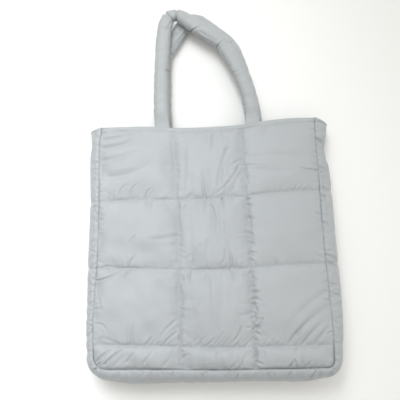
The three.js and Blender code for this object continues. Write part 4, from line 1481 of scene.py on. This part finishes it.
# Creases of the handles. The first number of a place is a share of the handle's length, and the second an
# angle round it in degrees, from 0 at its outer side over its top to 180 at its inner side.
FRONT_CREASES = [
    fold((0.438, 200), (0.434, -30), width=1.2, depth=2.8, bow=-0.5),
    fold((0.434, 0), (0.436, 90), width=1.3, depth=1.4),
    fold((0.464, 205), (0.463, -30), width=1.0, depth=3.4, bow=0.5),
    fold((0.540, 190), (0.566, 85), width=1.1, depth=2.6, bow=-2.0),
    fold((0.662, 195), (0.660, 80), width=1.2, depth=4.0, bow=-1.5),
    fold((0.652, 160), (0.640, 120), width=1.1, depth=1.2),
    fold((0.236, 190), (0.226, 120), width=1.5, depth=2.6),
    fold((0.376, 160), (0.384, 40), width=1.4, depth=0.8, bow=2.0),
    fold((0.425, 150), (0.350, 100), width=1.6, depth=0.8, bow=1.5),
    fold((0.080, 0), (0.084, 60), width=1.1, depth=1.3),
    fold((0.110, 20), (0.108, 80), width=1.1, depth=0.7),
    fold((0.775, 150), (0.780, 60), width=1.3, depth=1.0, bow=1.0),
    fold((0.745, 170), (0.752, 110), width=1.2, depth=0.9, bow=0.5),
    fold((0.905, 190), (0.908, 130), width=1.3, depth=1.8),
    fold((0.938, 190), (0.940, 130), width=1.3, depth=1.8),
    fold((0.672, 30), (0.668, 60), width=1.1, depth=1.4),
    fold((0.560, 30), (0.563, 55), width=1.0, depth=1.0),
    fold((0.480, 60), (0.545, 95), width=1.8, depth=0.8, bow=0.8),
    fold((0.575, 120), (0.650, 110), width=1.8, depth=0.9, bow=0.8),
    fold((0.680, 75), (0.770, 95), width=1.8, depth=0.9, bow=1.2),
]
BACK_CREASES = [
    fold((0.440, 150), (0.340, 120), width=1.7, depth=1.0, bow=1.5),
    fold((0.440, 95), (0.360, 80), width=1.6, depth=1.0, bow=-1.5),
    fold((0.420, 195), (0.418, 60), width=1.3, depth=1.0, bow=0.5),
    fold((0.320, 190), (0.318, 90), width=1.3, depth=1.6, bow=0.5),
    fold((0.478, 200), (0.482, 40), width=1.3, depth=2.0),
    fold((0.655, 190), (0.652, 60), width=1.3, depth=2.4),
]


class TOTE_OT_handles(bpy.types.Operator):
    """Sews the two padded handles."""

    bl_idname = "tote.handles"
    bl_label = "Handles"

    def execute(self, context):
        sizes = context.scene.tote_sizes
        form = BagForm(sizes)
        back_height = sizes.handle_thickness / 2
        front_height = back_height + sizes.handle_thickness + SEAM_GAP
        front = HandleForm(
            form, sizes, FRONT_HANDLE,
            lambda across, up: form.front_height(across, up) - TAB_OFFSET, front_height,
        )
        back = HandleForm(
            form, sizes, BACK_HANDLE,
            lambda across, up: BACK_SEAM_HEIGHT + TAB_OFFSET + 0 * up, back_height,
        )
        self.make("front_handle", front, FRONT_CREASES, 21, context)
        self.make("back_handle", back, BACK_CREASES, 22, context)
        return {"FINISHED"}

    def make(self, node, handle, creases, seed, context):
        around = math.pi * (handle.width + handle.thickness) / 2
        columns, rows = round(handle.length / HANDLE_STEP), HANDLE_ROWS
        sheet = FlatSheet([columns], [rows])
        distance = sheet.column / columns * handle.length
        flat = np.column_stack([distance, sheet.row / rows * around, np.zeros(len(distance))])
        pins = (sheet.row == 0) | (sheet.row == rows) | (sheet.column == 0) | (sheet.column == columns)
        relief = settled_relief(sheet, flat, pins, HANDLE_CUT, np.zeros(len(distance)), seed)
        mean = np.bincount(sheet.row, relief[:, 2]) / (columns + 1)
        relief[:, 2] = np.where(pins, 0, HANDLE_WRINKLE * (relief[:, 2] - mean[sheet.row]))
        fine = FlatSheet([2 * columns], [2 * rows])
        slip, turn, wrinkle = (finer(sheet, fine, relief[:, axis]) for axis in range(3))
        distance = fine.column / (2 * columns) * handle.length
        share = fine.row / (2 * rows)
        sewn = (fine.row == 0) | (fine.row == 2 * rows)
        turn = np.where(sewn, 0, turn)
        angle = -math.pi / 2 + 2 * math.pi * (share + turn / around)
        folds = np.column_stack([distance, (share - 0.25) * around])
        lift = wrinkle + fold_lift(folds, creases, np.array([handle.length, around / 360]))
        lift += self.puckers(folds, handle.length, around, seed)
        lift = np.where(sewn, 0, lift)
        places = handle.point(np.clip(distance + slip, 0, handle.length), angle, lift)
        flat = np.column_stack([distance, share * around])
        material = shared(nylon, "handle_nylon", context.scene.tote_colours.handle)
        dress(self.tube(node + "_padding", fine, places, flat, material), node)
        seam = np.flatnonzero(fine.row == 0)
        seam = places[seam[np.argsort(fine.column[seam])]]
        stitch_length, thread = context.scene.tote_sizes.stitch_length, context.scene.tote_colours.thread
        sew(node + "_stitches", [seam], stitch_length, thread)

    def puckers(self, flat, length, around, seed):
        """Small creases across a handle, most of them on its inner side."""
        rng = np.random.default_rng(seed)
        lift = np.zeros(len(flat))
        count = 42
        for place in np.linspace(0.05, 0.95, count) + rng.uniform(-0.01, 0.01, count):
            middle = rng.choice([150, 175, 40, 90]) + rng.uniform(-25, 25)
            start = np.array([place * length, middle / 360 * around])
            end = start + np.array([rng.uniform(-3, 3), rng.choice([-1, 1]) * rng.uniform(4, 11)]) * MM
            bow, width, depth = rng.uniform(-1, 1), rng.uniform(0.9, 1.6), rng.uniform(0.1, 0.7)
            lift += folded(flat, start, end, bow * MM, width * MM, depth * MM)
        return lift

    def tube(self, name, sheet, places, flat, material):
        """Rolls a flat sheet into a closed tube."""
        bm = bmesh.new()
        bm.from_mesh(sheet.mesh)
        uv_layer = bm.loops.layers.uv.new("cloth")
        for face in bm.faces:
            face.smooth = True
            for loop in face.loops:
                loop[uv_layer].uv = flat[loop.vert.index, :2]
        for vert, place in zip(bm.verts, places):
            vert.co = place
        bmesh.ops.remove_doubles(bm, verts=bm.verts[:], dist=0.01 * MM)
        ends = [edge for edge in bm.edges if edge.is_boundary]
        bmesh.ops.holes_fill(bm, edges=ends, sides=0)
        bmesh.ops.recalc_face_normals(bm, faces=bm.faces[:])
        return made(name, bm, material)


class TOTE_OT_stage(bpy.types.Operator):
    """Sets the pale floor, the soft light and the camera."""

    bl_idname = "tote.stage"
    bl_label = "Stage"

    def execute(self, context):
        scene = context.scene
        scene.view_settings.view_transform = "Standard"
        self.floor(scene)
        self.light(scene)
        self.camera(scene)
        return {"FINISHED"}

    def floor(self, scene):
        bm = bmesh.new()
        bmesh.ops.create_grid(bm, x_segments=1, y_segments=1, size=FLOOR_REACH)
        colour = (*scene.tote_colours.floor, 1)
        material, _, _ = new_material("pale_floor", Base_Color=colour, Roughness=0.8, Specular_IOR_Level=0.1)
        made("floor", bm, material)

    def light(self, scene):
        world = bpy.data.worlds.new("soft_room")
        scene.world = world
        world.use_nodes = True
        tree = world.node_tree
        background = tree.nodes["Background"]
        background.inputs["Color"].default_value = (*SKY["colour"], 1)
        place = tree.nodes.new("ShaderNodeTexCoord")
        tilt = tree.nodes.new("ShaderNodeVectorMath")
        tilt.operation = "DOT_PRODUCT"
        tilt.inputs[1].default_value = SKY["brightest"]
        tree.links.new(place.outputs["Object"], tilt.inputs[0])
        bright = node_of(tree, "ShaderNodeMapRange", To_Min=SKY["low"], To_Max=SKY["high"])
        tree.links.new(tilt.outputs["Value"], bright.inputs["Value"])
        tree.links.new(bright.outputs["Result"], background.inputs["Strength"])
        for name, made_as in LAMPS.items():
            data = bpy.data.lights.new(name, "AREA")
            data.shape = "DISK"
            data.size = made_as["width"]
            data.spread = math.radians(made_as["spread"])
            data.energy = made_as["power"]
            data.color = made_as["colour"]
            lamp = bpy.data.objects.new(name, data)
            lamp.location = made_as["place"]
            aim = Vector(made_as["target"]) - lamp.location
            lamp.rotation_euler = aim.to_track_quat("-Z", "Y").to_euler()
            scene.collection.objects.link(lamp)

    def camera(self, scene):
        right, up, back = camera_axes()
        data = bpy.data.cameras.new("camera")
        data.lens = CAMERA["lens"]
        data.sensor_width = CAMERA["sensor"]
        camera = bpy.data.objects.new("camera", data)
        scene.collection.objects.link(camera)
        turn = Matrix((right, up, back)).transposed().to_4x4()
        camera.matrix_world = Matrix.Translation(CAMERA_TARGET + back * CAMERA["distance"]) @ turn
        scene.camera = camera


class TOTE_PT_sidebar(bpy.types.Panel):
    """Sizes, colours and pieces of the bag."""

    bl_label = "Quilted Tote"
    bl_idname = "TOTE_PT_sidebar"
    bl_space_type = "VIEW_3D"
    bl_region_type = "UI"
    bl_category = "Tote"

    def draw(self, context):
        for group in (context.scene.tote_sizes, context.scene.tote_colours):
            for name in group.__annotations__:
                self.layout.prop(group, name)
        for operator in OPERATORS:
            self.layout.operator(operator.bl_idname)


OPERATORS = (TOTE_OT_stage, TOTE_OT_front_panel, TOTE_OT_back_panel, TOTE_OT_gusset, TOTE_OT_handles)
CLASSES = (ToteSizes, ToteColours, *OPERATORS, TOTE_PT_sidebar)


def register():
    for item in CLASSES:
        bpy.utils.register_class(item)
    bpy.types.Scene.tote_sizes = PointerProperty(type=ToteSizes)
    bpy.types.Scene.tote_colours = PointerProperty(type=ToteColours)


def unregister():
    del bpy.types.Scene.tote_colours
    del bpy.types.Scene.tote_sizes
    for item in reversed(CLASSES):
        bpy.utils.unregister_class(item)


def main():
    register()
    bpy.ops.tote.stage()
    bpy.ops.tote.front_panel()
    bpy.ops.tote.back_panel()
    bpy.ops.tote.gusset()
    bpy.ops.tote.handles()


if __name__ == "__main__":
    main()
